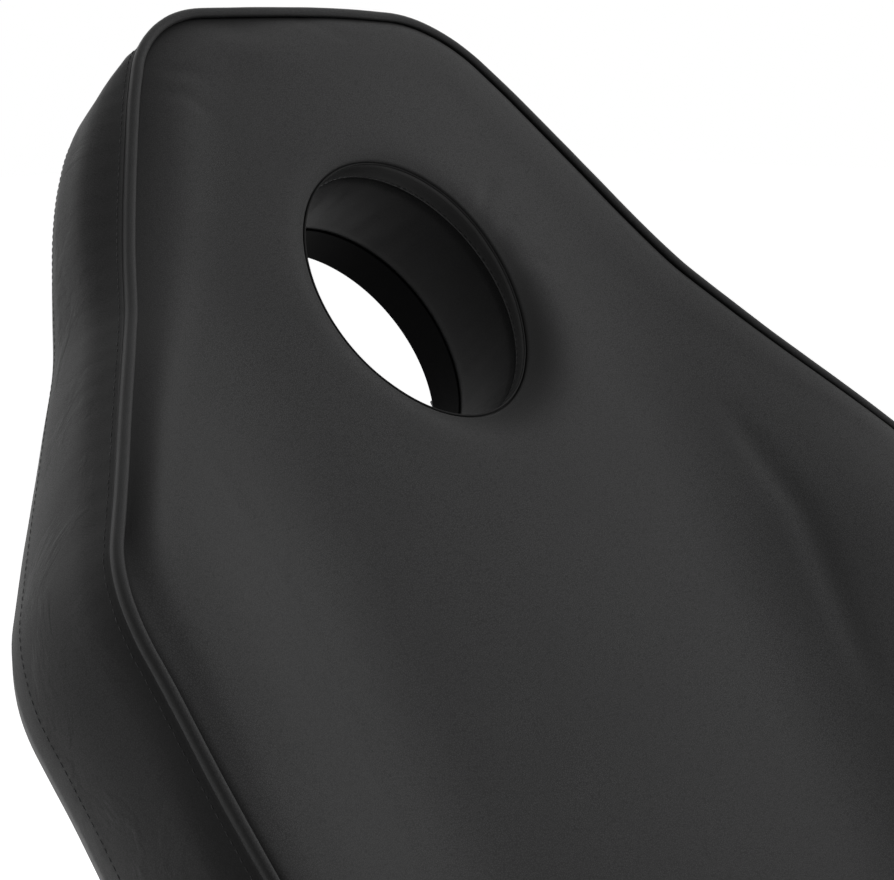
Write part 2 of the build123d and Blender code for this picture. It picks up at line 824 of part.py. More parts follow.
with BuildPart() as swivel_lock_lever:
    cross_disc(lock_inner_x, lock_hub_x, (0, lock_z), lock_screw_radius)
    cross_disc(lock_hub_x, lock_hub_end_x, (0, lock_z), lock_hub_radius)
    rise = radians(lock_arm_rise_angle)
    with BuildSketch(
        Plane(origin=(lock_arm_x, 0, lock_z), x_dir=(1, 0, 0), z_dir=(0, -cos(rise), sin(rise)))
    ):
        Circle(lock_arm_radius)
    extrude(amount=lock_arm_length)
swivel_lock_lever.part.label = "swivel_lock_lever"
export_step(swivel_lock_lever.part, "parts/swivel_lock_lever.step")

with BuildPart() as swivel_lock_knob:
    knob_place = polar((0, lock_z), -lock_arm_length, -lock_arm_rise_angle)
    with Locations((lock_arm_x, knob_place[0], knob_place[1])):
        Sphere(knob_radius)
    add(swivel_lock_lever.part, mode=Mode.SUBTRACT)
swivel_lock_knob.part.label = "swivel_lock_knob"
export_step(swivel_lock_knob.part, "parts/swivel_lock_knob.step")

# Seat frame: two cross tubes between two side plates

with BuildPart() as seat_cross_members:
    with BuildSketch(Plane.YZ.offset(-side_plate_inner_x)):
        with Locations((0, side_rail_z)):
            with GridLocations(cross_member_spacing, 0, 2, 1):
                Rectangle(cross_member_size, cross_member_size)
                Rectangle(
                    cross_member_size - 2 * cross_member_wall,
                    cross_member_size - 2 * cross_member_wall,
                    mode=Mode.SUBTRACT,
                )
    extrude(amount=2 * side_plate_inner_x)
    with BuildSketch(Plane.XY.offset(cross_member_z)):
        with GridLocations(mounting_bolt_spacing, cross_member_spacing, 2, 2):
            Circle(mounting_bolt_radius + running_gap)
    extrude(amount=cross_member_wall, mode=Mode.SUBTRACT)
    screw_holes(seat_pad, seat_screw_places)
seat_cross_members.part.label = "seat_cross_members"
export_step(seat_cross_members.part, "parts/seat_cross_members.step")


def ear(pivot, stud, inward):
    """The corners of a side plate's upright ear, from its rail to a pivot."""
    return (
        (pivot[0] - inward * pivot_ear_radius, pivot[1]),
        (stud[0] - inward * pivot_ear_radius, side_rail_z - side_rail_height / 2),
        (stud[0] + ear_spread * inward, side_rail_z - side_rail_height / 2),
        (stud[0] + ear_spread * inward / 2, side_rail_z + side_rail_height / 2),
        (pivot[0] + inward * pivot_ear_radius, pivot[1]),
    )


def side_plate(x_from, with_studs):
    """A laser-cut side plate, from the leg rest's pivot to the backrest's."""
    with BuildSketch(Plane.YZ.offset(x_from)) as section:
        with Locations(((side_rail_front_y + side_rail_rear_y) / 2, side_rail_z)):
            Rectangle(side_rail_rear_y - side_rail_front_y, side_rail_height)
        for pivot, stud, inward in ((backrest_pivot, backrest_stud, -1), (legrest_pivot, legrest_stud, 1)):
            Polygon(*ear(pivot, stud, inward), align=None)
            with Locations(pivot, stud):
                Circle(pivot_ear_radius)
        with Locations(backrest_pivot, legrest_pivot):
            Circle(pivot_radius + running_gap, mode=Mode.SUBTRACT)
        if with_studs:
            with Locations(backrest_stud, legrest_stud):
                Circle(stud_radius + running_gap, mode=Mode.SUBTRACT)
    extrude(section.sketch, amount=side_plate_thickness)


with BuildPart() as side_plate_left:
    side_plate(-side_plate_outer_x, False)
side_plate_left.part.label = "side_plate_left"
export_step(side_plate_left.part, "parts/side_plate_left.step")

with BuildPart() as side_plate_right:
    side_plate(side_plate_inner_x, True)
side_plate_right.part.label = "side_plate_right"
export_step(side_plate_right.part, "parts/side_plate_right.step")

with BuildPart() as pivot_bolts:
    for pivot in (backrest_pivot, legrest_pivot):
        for side in (-1, 1):
            cross_disc(
                side * (arm_inner_x - fit_gap - pivot_nut_height),
                side * side_plate_outer_x,
                pivot,
                pivot_radius,
            )
            cross_disc(
                side * side_plate_outer_x,
                side * (side_plate_outer_x + pivot_head_height),
                pivot,
                pivot_head_radius,
            )
pivot_bolts.part.label = "pivot_bolts"
export_step(pivot_bolts.part, "parts/pivot_bolts.step")

with BuildPart() as pivot_nuts:
    for pivot in (backrest_pivot, legrest_pivot):
        for side in (-1, 1):
            with BuildSketch(Plane.YZ.offset(side * (arm_inner_x - fit_gap - pivot_nut_height / 2))):
                with Locations(pivot):
                    RegularPolygon(pivot_nut_radius, 6)
                    Circle(pivot_radius + running_gap, mode=Mode.SUBTRACT)
            extrude(amount=pivot_nut_height / 2, both=True)
pivot_nuts.part.label = "pivot_nuts"
export_step(pivot_nuts.part, "parts/pivot_nuts.step")

with BuildPart() as pivot_washers:
    for pivot in (backrest_pivot, legrest_pivot):
        for side in (-1, 1):
            cross_disc(
                side * (arm_outer_x + fit_gap),
                side * side_plate_inner_x,
                pivot,
                washer_radius,
                pivot_radius + running_gap,
            )
pivot_washers.part.label = "pivot_washers"
export_step(pivot_washers.part, "parts/pivot_washers.step")

stud_inner_x = arm_inner_x - fit_gap
clamp_hub_x = side_plate_outer_x + fit_gap
clamp_hub_end_x = clamp_hub_x + clamp_hub_length
stud_outer_x = clamp_hub_end_x + fit_gap

with BuildPart() as clamp_studs:
    for stud in (backrest_stud, legrest_stud):
        cross_disc(stud_inner_x - stud_head_height, stud_inner_x, stud, stud_head_radius)
        cross_disc(stud_inner_x, stud_outer_x, stud, stud_radius)
        cross_disc(stud_outer_x, stud_outer_x + stud_end_height, stud, stud_end_radius)
clamp_studs.part.label = "clamp_studs"
export_step(clamp_studs.part, "parts/clamp_studs.step")


def clamp_arm_plane(stud, heading):
    """The plane across a clamp lever's arm, where it leaves the hub."""
    tilt = radians(clamp_arm_splay_angle)
    lean = radians(clamp_arm_angle)
    return Plane(
        origin=((clamp_hub_x + clamp_hub_end_x) / 2, stud[0], stud[1]),
        x_dir=(cos(tilt), -heading * cos(lean) * sin(tilt), sin(lean) * sin(tilt)),
        z_dir=(sin(tilt), heading * cos(lean) * cos(tilt), -sin(lean) * cos(tilt)),
    )


def clamp_lever(stud, heading):
    """A lever that runs on its stud and clamps the slotted arm behind the plate."""
    cross_disc(clamp_hub_x, clamp_hub_end_x, stud, clamp_hub_radius)
    with BuildSketch(clamp_arm_plane(stud, heading)) as arm:
        Circle(clamp_arm_radius)
    extrude(arm.sketch, amount=clamp_arm_length)
    with BuildSketch(Plane.YZ.offset(clamp_hub_x)) as bore:
        with Locations(stud):
            Circle(stud_radius + running_gap)
    extrude(bore.sketch, amount=clamp_hub_length, mode=Mode.SUBTRACT)


with BuildPart() as back_clamp_lever:
    clamp_lever(backrest_stud, 1)
back_clamp_lever.part.label = "back_clamp_lever"
export_step(back_clamp_lever.part, "parts/back_clamp_lever.step")

with BuildPart() as back_clamp_knob:
    with Locations(clamp_arm_plane(backrest_stud, 1).from_local_coords((0, 0, clamp_arm_length))):
        Sphere(knob_radius)
    add(back_clamp_lever.part, mode=Mode.SUBTRACT)
back_clamp_knob.part.label = "back_clamp_knob"
export_step(back_clamp_knob.part, "parts/back_clamp_knob.step")

with BuildPart() as leg_clamp_lever:
    clamp_lever(legrest_stud, -1)
leg_clamp_lever.part.label = "leg_clamp_lever"
export_step(leg_clamp_lever.part, "parts/leg_clamp_lever.step")

with BuildPart() as leg_clamp_knob:
    with Locations(clamp_arm_plane(legrest_stud, -1).from_local_coords((0, 0, clamp_arm_length))):
        Sphere(knob_radius)
    add(leg_clamp_lever.part, mode=Mode.SUBTRACT)
leg_clamp_knob.part.label = "leg_clamp_knob"
export_step(leg_clamp_knob.part, "parts/leg_clamp_knob.step")

# Seat pad

with BuildPart() as seat_screws:
    pad_screws(seat_pad, seat_screw_places)
seat_screws.part.label = "seat_screws"
export_step(seat_screws.part, "parts/seat_screws.step")

with BuildPart() as seat_board:
    pad_board(seat_pad)
    screw_holes(seat_pad, seat_screw_places)
seat_board.part.label = "seat_board"
export_step(seat_board.part, "parts/seat_board.step")

with BuildPart() as seat_core:
    pad_core(seat_pad)

with BuildPart() as seat_cover:
    cushion(seat_pad, 0)
    add(seat_core.part, mode=Mode.SUBTRACT)
seat_cover.part.label = "seat_cover"
export_step(seat_cover.part, "parts/seat_cover.step")

with BuildPart() as seat_foam:
    pad_foam(seat_pad)
seat_foam.part.label = "seat_foam"
export_step(seat_foam.part, "parts/seat_foam.step")

with BuildPart() as seat_piping:
    piping(seat_pad)
seat_piping.part.label = "seat_piping"
export_step(seat_piping.part, "parts/seat_piping.step")

# Backrest: board, foam, cover, welt, face-hole lining and the cloth on its back

backrest_rail_x = backrest_head_half_width
backrest_rail_low = backrest_length * rail_start_share
backrest_rail_high = backrest_length - hole_from_head + hole_half_length * rail_end_share
backrest_back = backrest_thickness + back_cloth_thickness
backrest_tube_low = backrest_rail_low + cross_tube_size
backrest_tube_high = backrest_tube_low + backrest_tube_spacing
backrest_screw_places = [
    (side * backrest_rail_x, backrest_rail_low + (backrest_rail_high - backrest_rail_low) * share)
    for side in (-1, 1)
    for share in backrest_screw_shares
]


def rails(pad, places, low, high, depth):
    """Rectangular tubes along a pad's back, under its board."""
    with BuildSketch(section_plane(pad["plane"], low)) as section:
        with Locations(*[(x, -depth - rail_depth / 2) for x in places]):
            Rectangle(rail_width, rail_depth)
            Rectangle(rail_width - 2 * tube_wall, rail_depth - 2 * tube_wall, mode=Mode.SUBTRACT)
    extrude(section.sketch, amount=low - high)


def side_view(pad, x):
    """The plane of a pad's side view, at one place across it."""
    origin = pad["plane"].from_local_coords((x, 0, 0))
    return Plane(origin=origin, x_dir=pad["plane"].y_dir, z_dir=pad["plane"].x_dir)


def cross_tubes(pad, places, depth):
    """Square tubes across a pad's back, between its two hinge arms."""
    with BuildSketch(side_view(pad, -arm_inner_x)) as section:
        with Locations(*[(y, -depth - cross_tube_size / 2) for y in places]):
            Rectangle(cross_tube_size, cross_tube_size)
            Rectangle(cross_tube_size - 2 * tube_wall, cross_tube_size - 2 * tube_wall, mode=Mode.SUBTRACT)
    extrude(section.sketch, amount=2 * arm_inner_x)


def link(plane, start, start_radius, end, end_radius, thickness):
    """A flat bar with round ends."""
    with BuildSketch(plane) as shape:
        with Locations(start):
            Circle(start_radius)
        with Locations(end):
            Circle(end_radius)
        make_hull()
    extrude(shape.sketch, amount=thickness)


def quadrant(plane, pivot, stud_angle, highest_angle):
    """The sector of a hinge arm, with the curved slot that its clamp stud runs in."""
    first = stud_angle - highest_angle - slot_spare_angle
    sweep = highest_angle + 2 * slot_spare_angle
    with BuildSketch(plane) as sector:
        with Locations(pivot):
            Circle(arm_hub_radius)
        turns = [first + sweep * n / quadrant_steps for n in range(quadrant_steps + 1)]
        with Locations(*[polar(pivot, quadrant_radius, turn) for turn in turns]):
            Circle(quadrant_rim)
        make_hull()
    extrude(sector.sketch, amount=arm_thickness)
    with BuildSketch(plane) as slot:
        with BuildLine() as track:
            CenterArc(pivot, quadrant_radius, first, sweep)
        SlotArc(track.edges()[0], slot_width)
    extrude(slot.sketch, amount=arm_thickness, mode=Mode.SUBTRACT)


def hinge_arm(pad, side, pivot, bend, end):
    """A pad's hinge arm: a hub on the pivot and a bar along the pad's back."""
    plane = side_view(pad, arm_inner_x if side > 0 else -arm_outer_x)
    link(plane, pivot, arm_hub_radius, bend, arm_bar_radius, arm_thickness)
    link(plane, bend, arm_bar_radius, end, arm_bar_radius, arm_thickness)
    return plane


def hinge_bore(plane, pivot):
    """The bore in which a hinge arm turns on its pivot bolt."""
    with BuildSketch(plane) as section:
        with Locations(pivot):
            Circle(pivot_radius + running_gap)
    extrude(section.sketch, amount=arm_thickness, mode=Mode.SUBTRACT)


backrest_arm_height = -backrest_back - rail_depth - cross_tube_size / 2
backrest_arm_pivot = (-backrest_pivot_gap, -backrest_pivot_drop)
backrest_arm_bend = (arm_bar_radius, backrest_arm_height)
backrest_arm_end = (backrest_tube_high + cross_tube_size / 2, backrest_arm_height)

with BuildPart() as backrest_board:
    pad_board(backrest_pad)
    face_hole(0, 0, -backrest_back)
    screw_holes(backrest_pad, backrest_screw_places)
backrest_board.part.label = "backrest_board"
export_step(backrest_board.part, "parts/backrest_board.step")

with BuildPart() as backrest_core:
    pad_core(backrest_pad)

with BuildPart() as backrest_cover:
    cushion(backrest_pad, 0)
    add(backrest_core.part, mode=Mode.SUBTRACT)
    face_hole(lining_thickness + fit_gap, backrest_rise + overrun, -backrest_back)
backrest_cover.part.label = "backrest_cover"
export_step(backrest_cover.part, "parts/backrest_cover.step")

with BuildPart() as backrest_foam:
    pad_foam(backrest_pad)
    face_hole(lining_thickness + fit_gap, backrest_rise + overrun, -backrest_back)
backrest_foam.part.label = "backrest_foam"
export_step(backrest_foam.part, "parts/backrest_foam.step")

with BuildPart() as backrest_piping:
    piping(backrest_pad)
backrest_piping.part.label = "backrest_piping"
export_step(backrest_piping.part, "parts/backrest_piping.step")

with BuildPart() as face_hole_lining:
    lining_bottom = backrest_board_thickness - backrest_thickness
    face_hole(lining_thickness, backrest_crown * crown_curve_share, lining_bottom, mode=Mode.ADD)
    face_hole(0, backrest_crown, lining_bottom)
face_hole_lining.part.label = "face_hole_lining"
export_step(face_hole_lining.part, "parts/face_hole_lining.step")

with BuildPart() as backrest_back_cloth:
    slab(backrest_pad, backrest_thickness, backrest_back, wall_roll + skin)
    face_hole(back_cloth_hole_growth, 0, -backrest_back)
    screw_holes(backrest_pad, backrest_screw_places)
backrest_back_cloth.part.label = "backrest_back_cloth"
export_step(backrest_back_cloth.part, "parts/backrest_back_cloth.step")

with BuildPart() as backrest_rails:
    rails(
        backrest_pad,
        (-backrest_rail_x, backrest_rail_x),
        backrest_rail_low,
        backrest_rail_high,
        backrest_back,
    )
    screw_holes(backrest_pad, backrest_screw_places)
backrest_rails.part.label = "backrest_rails"
export_step(backrest_rails.part, "parts/backrest_rails.step")

with BuildPart() as backrest_cross_tubes:
    cross_tubes(backrest_pad, (backrest_tube_low, backrest_tube_high), backrest_back + rail_depth)
backrest_cross_tubes.part.label = "backrest_cross_tubes"
export_step(backrest_cross_tubes.part, "parts/backrest_cross_tubes.step")

with BuildPart() as backrest_screws:
    pad_screws(backrest_pad, backrest_screw_places)
backrest_screws.part.label = "backrest_screws"
export_step(backrest_screws.part, "parts/backrest_screws.step")

with BuildPart() as backrest_arm_left:
    arm_plane = hinge_arm(backrest_pad, -1, backrest_arm_pivot, backrest_arm_bend, backrest_arm_end)
    hinge_bore(arm_plane, backrest_arm_pivot)
backrest_arm_left.part.label = "backrest_arm_left"
export_step(backrest_arm_left.part, "parts/backrest_arm_left.step")

with BuildPart() as backrest_arm_right:
    arm_plane = hinge_arm(backrest_pad, 1, backrest_arm_pivot, backrest_arm_bend, backrest_arm_end)
    quadrant(arm_plane, backrest_arm_pivot, backrest_stud_angle, backrest_highest_angle)
    hinge_bore(arm_plane, backrest_arm_pivot)
backrest_arm_right.part.label = "backrest_arm_right"
export_step(backrest_arm_right.part, "parts/backrest_arm_right.step")

# Leg rest: board, foam, cover, welt, rails, cross tube and hinge arms

legrest_rail_x = legrest_foot_half_width * legrest_rail_share
legrest_rail_low = -legrest_length * legrest_rail_end_share
legrest_rail_high = -legrest_length * rail_start_share
legrest_tube_high = legrest_rail_high - cross_tube_size
legrest_tube_low = legrest_tube_high - legrest_tube_spacing
legrest_screw_places = [
    (side * legrest_rail_x, legrest_rail_low + (legrest_rail_high - legrest_rail_low) * share)
    for side in (-1, 1)
    for share in legrest_screw_shares
]
legrest_arm_height = -legrest_thickness - rail_depth - cross_tube_size / 2
legrest_arm_pivot = (legrest_pivot_gap, -legrest_pivot_drop)
legrest_arm_bend = (-arm_bar_radius, legrest_arm_height)
legrest_arm_end = (legrest_tube_low - cross_tube_size / 2, legrest_arm_height)

with BuildPart() as legrest_board:
    pad_board(legrest_pad)
    screw_holes(legrest_pad, legrest_screw_places)
legrest_board.part.label = "legrest_board"
export_step(legrest_board.part, "parts/legrest_board.step")

with BuildPart() as legrest_core:
    pad_core(legrest_pad)

with BuildPart() as legrest_cover:
    cushion(legrest_pad, 0)
    add(legrest_core.part, mode=Mode.SUBTRACT)
legrest_cover.part.label = "legrest_cover"
export_step(legrest_cover.part, "parts/legrest_cover.step")

with BuildPart() as legrest_foam:
    pad_foam(legrest_pad)
legrest_foam.part.label = "legrest_foam"
export_step(legrest_foam.part, "parts/legrest_foam.step")

with BuildPart() as legrest_piping:
    piping(legrest_pad)
legrest_piping.part.label = "legrest_piping"
export_step(legrest_piping.part, "parts/legrest_piping.step")

with BuildPart() as legrest_rails:
    rails(
        legrest_pad,
        (-legrest_rail_x, legrest_rail_x),
        legrest_rail_low,
        legrest_rail_high,
        legrest_thickness,
    )
    screw_holes(legrest_pad, legrest_screw_places)
legrest_rails.part.label = "legrest_rails"
export_step(legrest_rails.part, "parts/legrest_rails.step")

with BuildPart() as legrest_cross_tubes:
    cross_tubes(legrest_pad, (legrest_tube_low, legrest_tube_high), legrest_thickness + rail_depth)
legrest_cross_tubes.part.label = "legrest_cross_tubes"
export_step(legrest_cross_tubes.part, "parts/legrest_cross_tubes.step")

with BuildPart() as legrest_screws:
    pad_screws(legrest_pad, legrest_screw_places)
legrest_screws.part.label = "legrest_screws"
export_step(legrest_screws.part, "parts/legrest_screws.step")

with BuildPart() as legrest_arm_left:
    arm_plane = hinge_arm(legrest_pad, -1, legrest_arm_pivot, legrest_arm_bend, legrest_arm_end)
    hinge_bore(arm_plane, legrest_arm_pivot)
legrest_arm_left.part.label = "legrest_arm_left"
export_step(legrest_arm_left.part, "parts/legrest_arm_left.step")

with BuildPart() as legrest_arm_right:
    arm_plane = hinge_arm(legrest_pad, 1, legrest_arm_pivot, legrest_arm_bend, legrest_arm_end)
    quadrant(arm_plane, legrest_arm_pivot, legrest_stud_angle, legrest_lowest_angle)
    hinge_bore(arm_plane, legrest_arm_pivot)
legrest_arm_right.part.label = "legrest_arm_right"
export_step(legrest_arm_right.part, "parts/legrest_arm_right.step")

# Armrests: posts on the side plates, pivot bolts, angle bars and pads

post_outer_x = side_plate_outer_x + post_thickness
web_inner_x = post_outer_x + armrest_web_gap
web_outer_x = web_inner_x + armrest_web_thickness
armrest_pivot = (armrest_pivot_y, armrest_pivot_z)
post_foot = (post_foot_y, side_rail_z)
post_bend = (post_foot_y, side_rail_z + post_bend_rise)
web_bottom_z = armrest_pivot_z - armrest_web_tail_radius
web_top_z = web_bottom_z + armrest_web_height
flange_top_z = web_top_z + armrest_flange_thickness
armrest_pad_x = web_inner_x + armrest_pad_offset + armrest_pad_width / 2
flange_rear_y = armrest_pad_rear_y - armrest_pad_roll
stop_pin_place = (
    armrest_pivot_y - stop_pin_setback,
    web_bottom_z - stop_pin_radius - fit_gap,
)

with BuildPart() as armrest_posts:
    for x_from in (side_plate_outer_x, -post_outer_x):
        post_plane = Plane.YZ.offset(x_from)
        link(post_plane, post_foot, post_width / 2, post_bend, post_width / 2, post_thickness)
        link(post_plane, post_bend, post_width / 2, armrest_pivot, post_end_radius, post_thickness)
    for side in (-1, 1):
        cross_disc(
            side * post_outer_x, side * (post_outer_x + stop_pin_length), stop_pin_place, stop_pin_radius
        )
    with BuildSketch(Plane.YZ.offset(-post_outer_x)):
        with Locations(armrest_pivot):
            Circle(armrest_bolt_radius + running_gap)
    extrude(amount=2 * post_outer_x, mode=Mode.SUBTRACT)
armrest_posts.part.label = "armrest_posts"
export_step(armrest_posts.part, "parts/armrest_posts.step")

with BuildPart() as armrest_pivot_bolts:
    for side in (-1, 1):
        cross_disc(
            side * (side_plate_outer_x - armrest_bolt_head_height),
            side * side_plate_outer_x,
            armrest_pivot,
            armrest_bolt_head_radius,
        )
        cross_disc(
            side * side_plate_outer_x,
            side * (web_outer_x + fit_gap),
            armrest_pivot,
            armrest_bolt_radius,
        )
        cross_disc(
            side * (web_outer_x + fit_gap),
            side * (web_outer_x + fit_gap + armrest_bolt_head_height),
            armrest_pivot,
            armrest_bolt_head_radius,
        )
armrest_pivot_bolts.part.label = "armrest_pivot_bolts"
export_step(armrest_pivot_bolts.part, "parts/armrest_pivot_bolts.step")


def armrest_pad(side):
    """The sizes of one armrest's pad."""
    top = Plane.XY.offset(flange_top_z + armrest_pad_height)
    return dict(
        plane=top.move(Location((side * armrest_pad_x, 0, 0))),
        corners=[
            (armrest_pad_width / 2, armrest_pad_front_y),
            (armrest_pad_width / 2, armrest_pad_rear_y),
        ],
        radii=[armrest_pad_corner_radius, armrest_pad_corner_radius],
        roll=armrest_pad_roll,
        thickness=armrest_pad_height,
        rise=armrest_pad_rise,
        headroom=armrest_pad_rise + armrest_pad_crown + overrun,
        stations=[
            (armrest_pad_front_y - overrun, armrest_pad_rise),
            (armrest_pad_rear_y + overrun, armrest_pad_rise),
        ],
        half_width=armrest_pad_width / 2,
        crown=armrest_pad_crown,
        board_thickness=skin + fit_gap,
        board_inset=armrest_pad_open_inset,
    )


def armrest_bar(side):
    """A folded steel angle, bored for its pivot bolt."""
    web_start = web_inner_x if side > 0 else -web_outer_x
    with BuildSketch(Plane.YZ.offset(web_start)) as web:
        with Locations(((armrest_front_y + armrest_pivot_y) / 2, (web_bottom_z + web_top_z) / 2)):
            Rectangle(armrest_pivot_y - armrest_front_y, armrest_web_height)
        with Locations(armrest_pivot):
            Circle(armrest_web_tail_radius)
            Circle(armrest_bolt_radius + running_gap, mode=Mode.SUBTRACT)
        with Locations(((armrest_pivot_y + flange_rear_y) / 2, web_top_z + armrest_web_tail_radius / 2)):
            Rectangle(4 * armrest_web_tail_radius, armrest_web_tail_radius, mode=Mode.SUBTRACT)
    extrude(web.sketch, amount=armrest_web_thickness)
    with BuildSketch(Plane.XY.offset(web_top_z)) as flange:
        with Locations(
            (side * (web_inner_x + armrest_flange_width / 2), (armrest_front_y + flange_rear_y) / 2)
        ):
            Rectangle(armrest_flange_width, flange_rear_y - armrest_front_y)
    extrude(flange.sketch, amount=armrest_flange_thickness)


with BuildPart() as armrest_bar_left:
    armrest_bar(-1)
armrest_bar_left.part.label = "armrest_bar_left"
export_step(armrest_bar_left.part, "parts/armrest_bar_left.step")

with BuildPart() as armrest_bar_right:
    armrest_bar(1)
armrest_bar_right.part.label = "armrest_bar_right"
export_step(armrest_bar_right.part, "parts/armrest_bar_right.step")

for side, name in ((-1, "left"), (1, "right")):
    with BuildPart() as armrest_core:
        pad_core(armrest_pad(side))

    with BuildPart() as armrest_cover:
        cushion(armrest_pad(side), 0)
        add(armrest_core.part, mode=Mode.SUBTRACT)
    armrest_cover.part.label = "armrest_cover_" + name
    export_step(armrest_cover.part, "parts/armrest_cover_" + name + ".step")

    with BuildPart() as armrest_foam:
        cushion(armrest_pad(side), skin + fit_gap)
        slab(
            armrest_pad(side),
            -armrest_pad(side)["headroom"],
            armrest_pad_height - skin - fit_gap,
            -armrest_pad_roll,
            mode=Mode.INTERSECT,
        )
        open_inset = armrest_pad_open_inset + 2 * fit_gap
        slab(armrest_pad(side), armrest_pad_height / 2, armrest_pad_height, open_inset)
    armrest_foam.part.label = "armrest_foam_" + name
    export_step(armrest_foam.part, "parts/armrest_foam_" + name + ".step")
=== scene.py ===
import json
from math import cos, exp, hypot, pi, radians, sin, sqrt

import bmesh
import bpy
from mathutils import Matrix, Vector, noise
from mathutils.bvhtree import BVHTree
from mathutils.kdtree import KDTree


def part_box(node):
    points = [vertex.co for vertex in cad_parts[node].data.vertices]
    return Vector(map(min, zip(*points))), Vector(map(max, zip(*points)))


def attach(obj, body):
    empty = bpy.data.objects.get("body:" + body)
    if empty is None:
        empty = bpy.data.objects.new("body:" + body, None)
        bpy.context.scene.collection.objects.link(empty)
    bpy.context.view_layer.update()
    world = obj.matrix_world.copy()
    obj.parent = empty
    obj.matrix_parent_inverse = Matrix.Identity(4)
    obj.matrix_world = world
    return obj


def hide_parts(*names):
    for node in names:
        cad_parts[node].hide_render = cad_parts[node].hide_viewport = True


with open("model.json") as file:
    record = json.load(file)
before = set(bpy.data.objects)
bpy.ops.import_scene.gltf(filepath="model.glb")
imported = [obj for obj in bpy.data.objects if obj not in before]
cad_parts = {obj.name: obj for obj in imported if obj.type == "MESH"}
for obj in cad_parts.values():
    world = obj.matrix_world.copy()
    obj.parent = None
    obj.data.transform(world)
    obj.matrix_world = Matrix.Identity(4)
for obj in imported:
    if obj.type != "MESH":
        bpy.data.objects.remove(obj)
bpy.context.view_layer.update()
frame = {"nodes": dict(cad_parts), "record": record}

scene = bpy.context.scene
nodes = frame["nodes"]
millimetre = 0.001

# Pads, in millimetres: each outline's right-hand corners run from the foot end to the head end

backrest = dict(
    angle=55.4,
    origin=(290.42, 535.97),
    corners=[(262, 0), (269, 220), (298, 418), (197, 575), (105, 758)],
    radii=[45, 400, 90, 200, 62],
    thickness=90,
)
seat = dict(
    angle=0,
    origin=(0, 520),
    corners=[(262, -260), (262, 260)],
    radii=[46, 46],
    thickness=100,
)
legrest = dict(
    angle=45,
    origin=(-329.497, 491.213),
    corners=[(222, -430), (252, 0)],
    radii=[42, 42],
    thickness=74,
)

hole_y = 578
hole_half_width = 71.3
hole_half_length = 78.2
lining_top = 12.6
lining_depth = 66.5
welt_radius = 2.8
welt_sink = 2.4
wall_lead = 4.6  # The wall's cover starts this far under the edge, behind the welt
board_face = -67.6  # Where the foam lies on the board
wrap = 40  # How far the cover turns in over the board's back
rim_rounding = 2.0
rim_sink = 1.2
gather_count = 150


def pad_matrix(pad):
    """The pad's own frame: x across, y towards the head end, z out of the top."""
    turn = radians(pad["angle"])
    y, z = pad["origin"]
    matrix = Matrix.Rotation(turn, 4, "X")
    matrix.translation = Vector((0, y, z)) * millimetre
    return matrix @ Matrix.Scale(millimetre, 4)


def smooth_table(places, values):
    """A smooth curve through a table of values."""
    slopes = []
    for k in range(len(places)):
        low, high = max(k - 1, 0), min(k + 1, len(places) - 1)
        slopes.append((values[high] - values[low]) / (places[high] - places[low]))

    def read(place):
        place = min(max(place, places[0]), places[-1])
        k = 0
        while k < len(places) - 2 and place > places[k + 1]:
            k += 1
        span = places[k + 1] - places[k]
        t = (place - places[k]) / span
        return (
            values[k] * (1 + 2 * t) * (1 - t) ** 2
            + values[k + 1] * t * t * (3 - 2 * t)
            + span * (slopes[k] * t * (1 - t) ** 2 - slopes[k + 1] * t * t * (1 - t))
        )

    return read


def ease(start, end, value):
    """Turns smoothly from 0 at start to 1 at end."""
    t = min(max((value - start) / (end - start), 0), 1)
    return t * t * t * (t * (6 * t - 15) + 10)


def rounded_outline(pad, count):
    """Evenly spaced (x, y, outward x, outward y) round the pad, from the middle of its head end."""
    right = pad["corners"]
    corners = [Vector(c) for c in right] + [Vector((-x, y)) for x, y in reversed(right)]
    radii = pad["radii"] + pad["radii"][::-1]
    line = []
    for k, corner in enumerate(corners):
        before, after = corners[k - 1], corners[(k + 1) % len(corners)]
        inward, onward = (before - corner).normalized(), (after - corner).normalized()
        half = inward.angle(onward) / 2
        reach = radii[k] / sin(half) * cos(half)
        centre = corner + (inward + onward).normalized() * radii[k] / sin(half)
        start, end = corner + inward * reach - centre, corner + onward * reach - centre
        steps = 24
        for step in range(steps + 1):
            share = step / steps
            spoke = (start * (1 - share) + end * share).normalized() * radii[k]
            line.append(centre + spoke)
    # The line starts at the middle of the head end and goes to its left
    top = len(line) // 2
    line = [(line[top - 1] + line[top]) / 2] + line[top:] + line[:top]
    line.append(line[0])
    lengths = [0]
    for a, b in zip(line, line[1:]):
        lengths.append(lengths[-1] + (b - a).length)
    points, k = [], 0
    for number in range(count):
        along = lengths[-1] * number / count
        while lengths[k + 1] < along:
            k += 1
        share = (along - lengths[k]) / (lengths[k + 1] - lengths[k])
        points.append(line[k].lerp(line[k + 1], share))
    result = []
    for number, point in enumerate(points):
        onward = (points[(number + 1) % count] - points[number - 1]).normalized()
        result.append((point.x, point.y, onward.y, -onward.x))
    return result


def ripple(place, size, seed=0.0):
    """Soft noise between about -1 and 1, with waves of about this size."""
    return noise.noise(Vector((place.x / size + seed, place.y / size - seed, place.z / size)))


# Mesh helpers


def place_form(form, name):
    """Turns a bmesh in metres into an object in the scene."""
    mesh = bpy.data.meshes.new(name)
    form.to_mesh(mesh)
    form.free()
    piece = bpy.data.objects.new(name, mesh)
    scene.collection.objects.link(piece)
    return piece


def finish_piece(form, name, finish, body, replaced=()):
    """Turns a bmesh in metres into a piece that rides on a body."""
    bmesh.ops.recalc_face_normals(form, faces=form.faces)
    for face in form.faces:
        face.smooth = True
    piece = place_form(form, name)
    piece.data.materials.append(finish)
    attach(piece, body)
    if replaced:
        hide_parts(*replaced)
    return piece


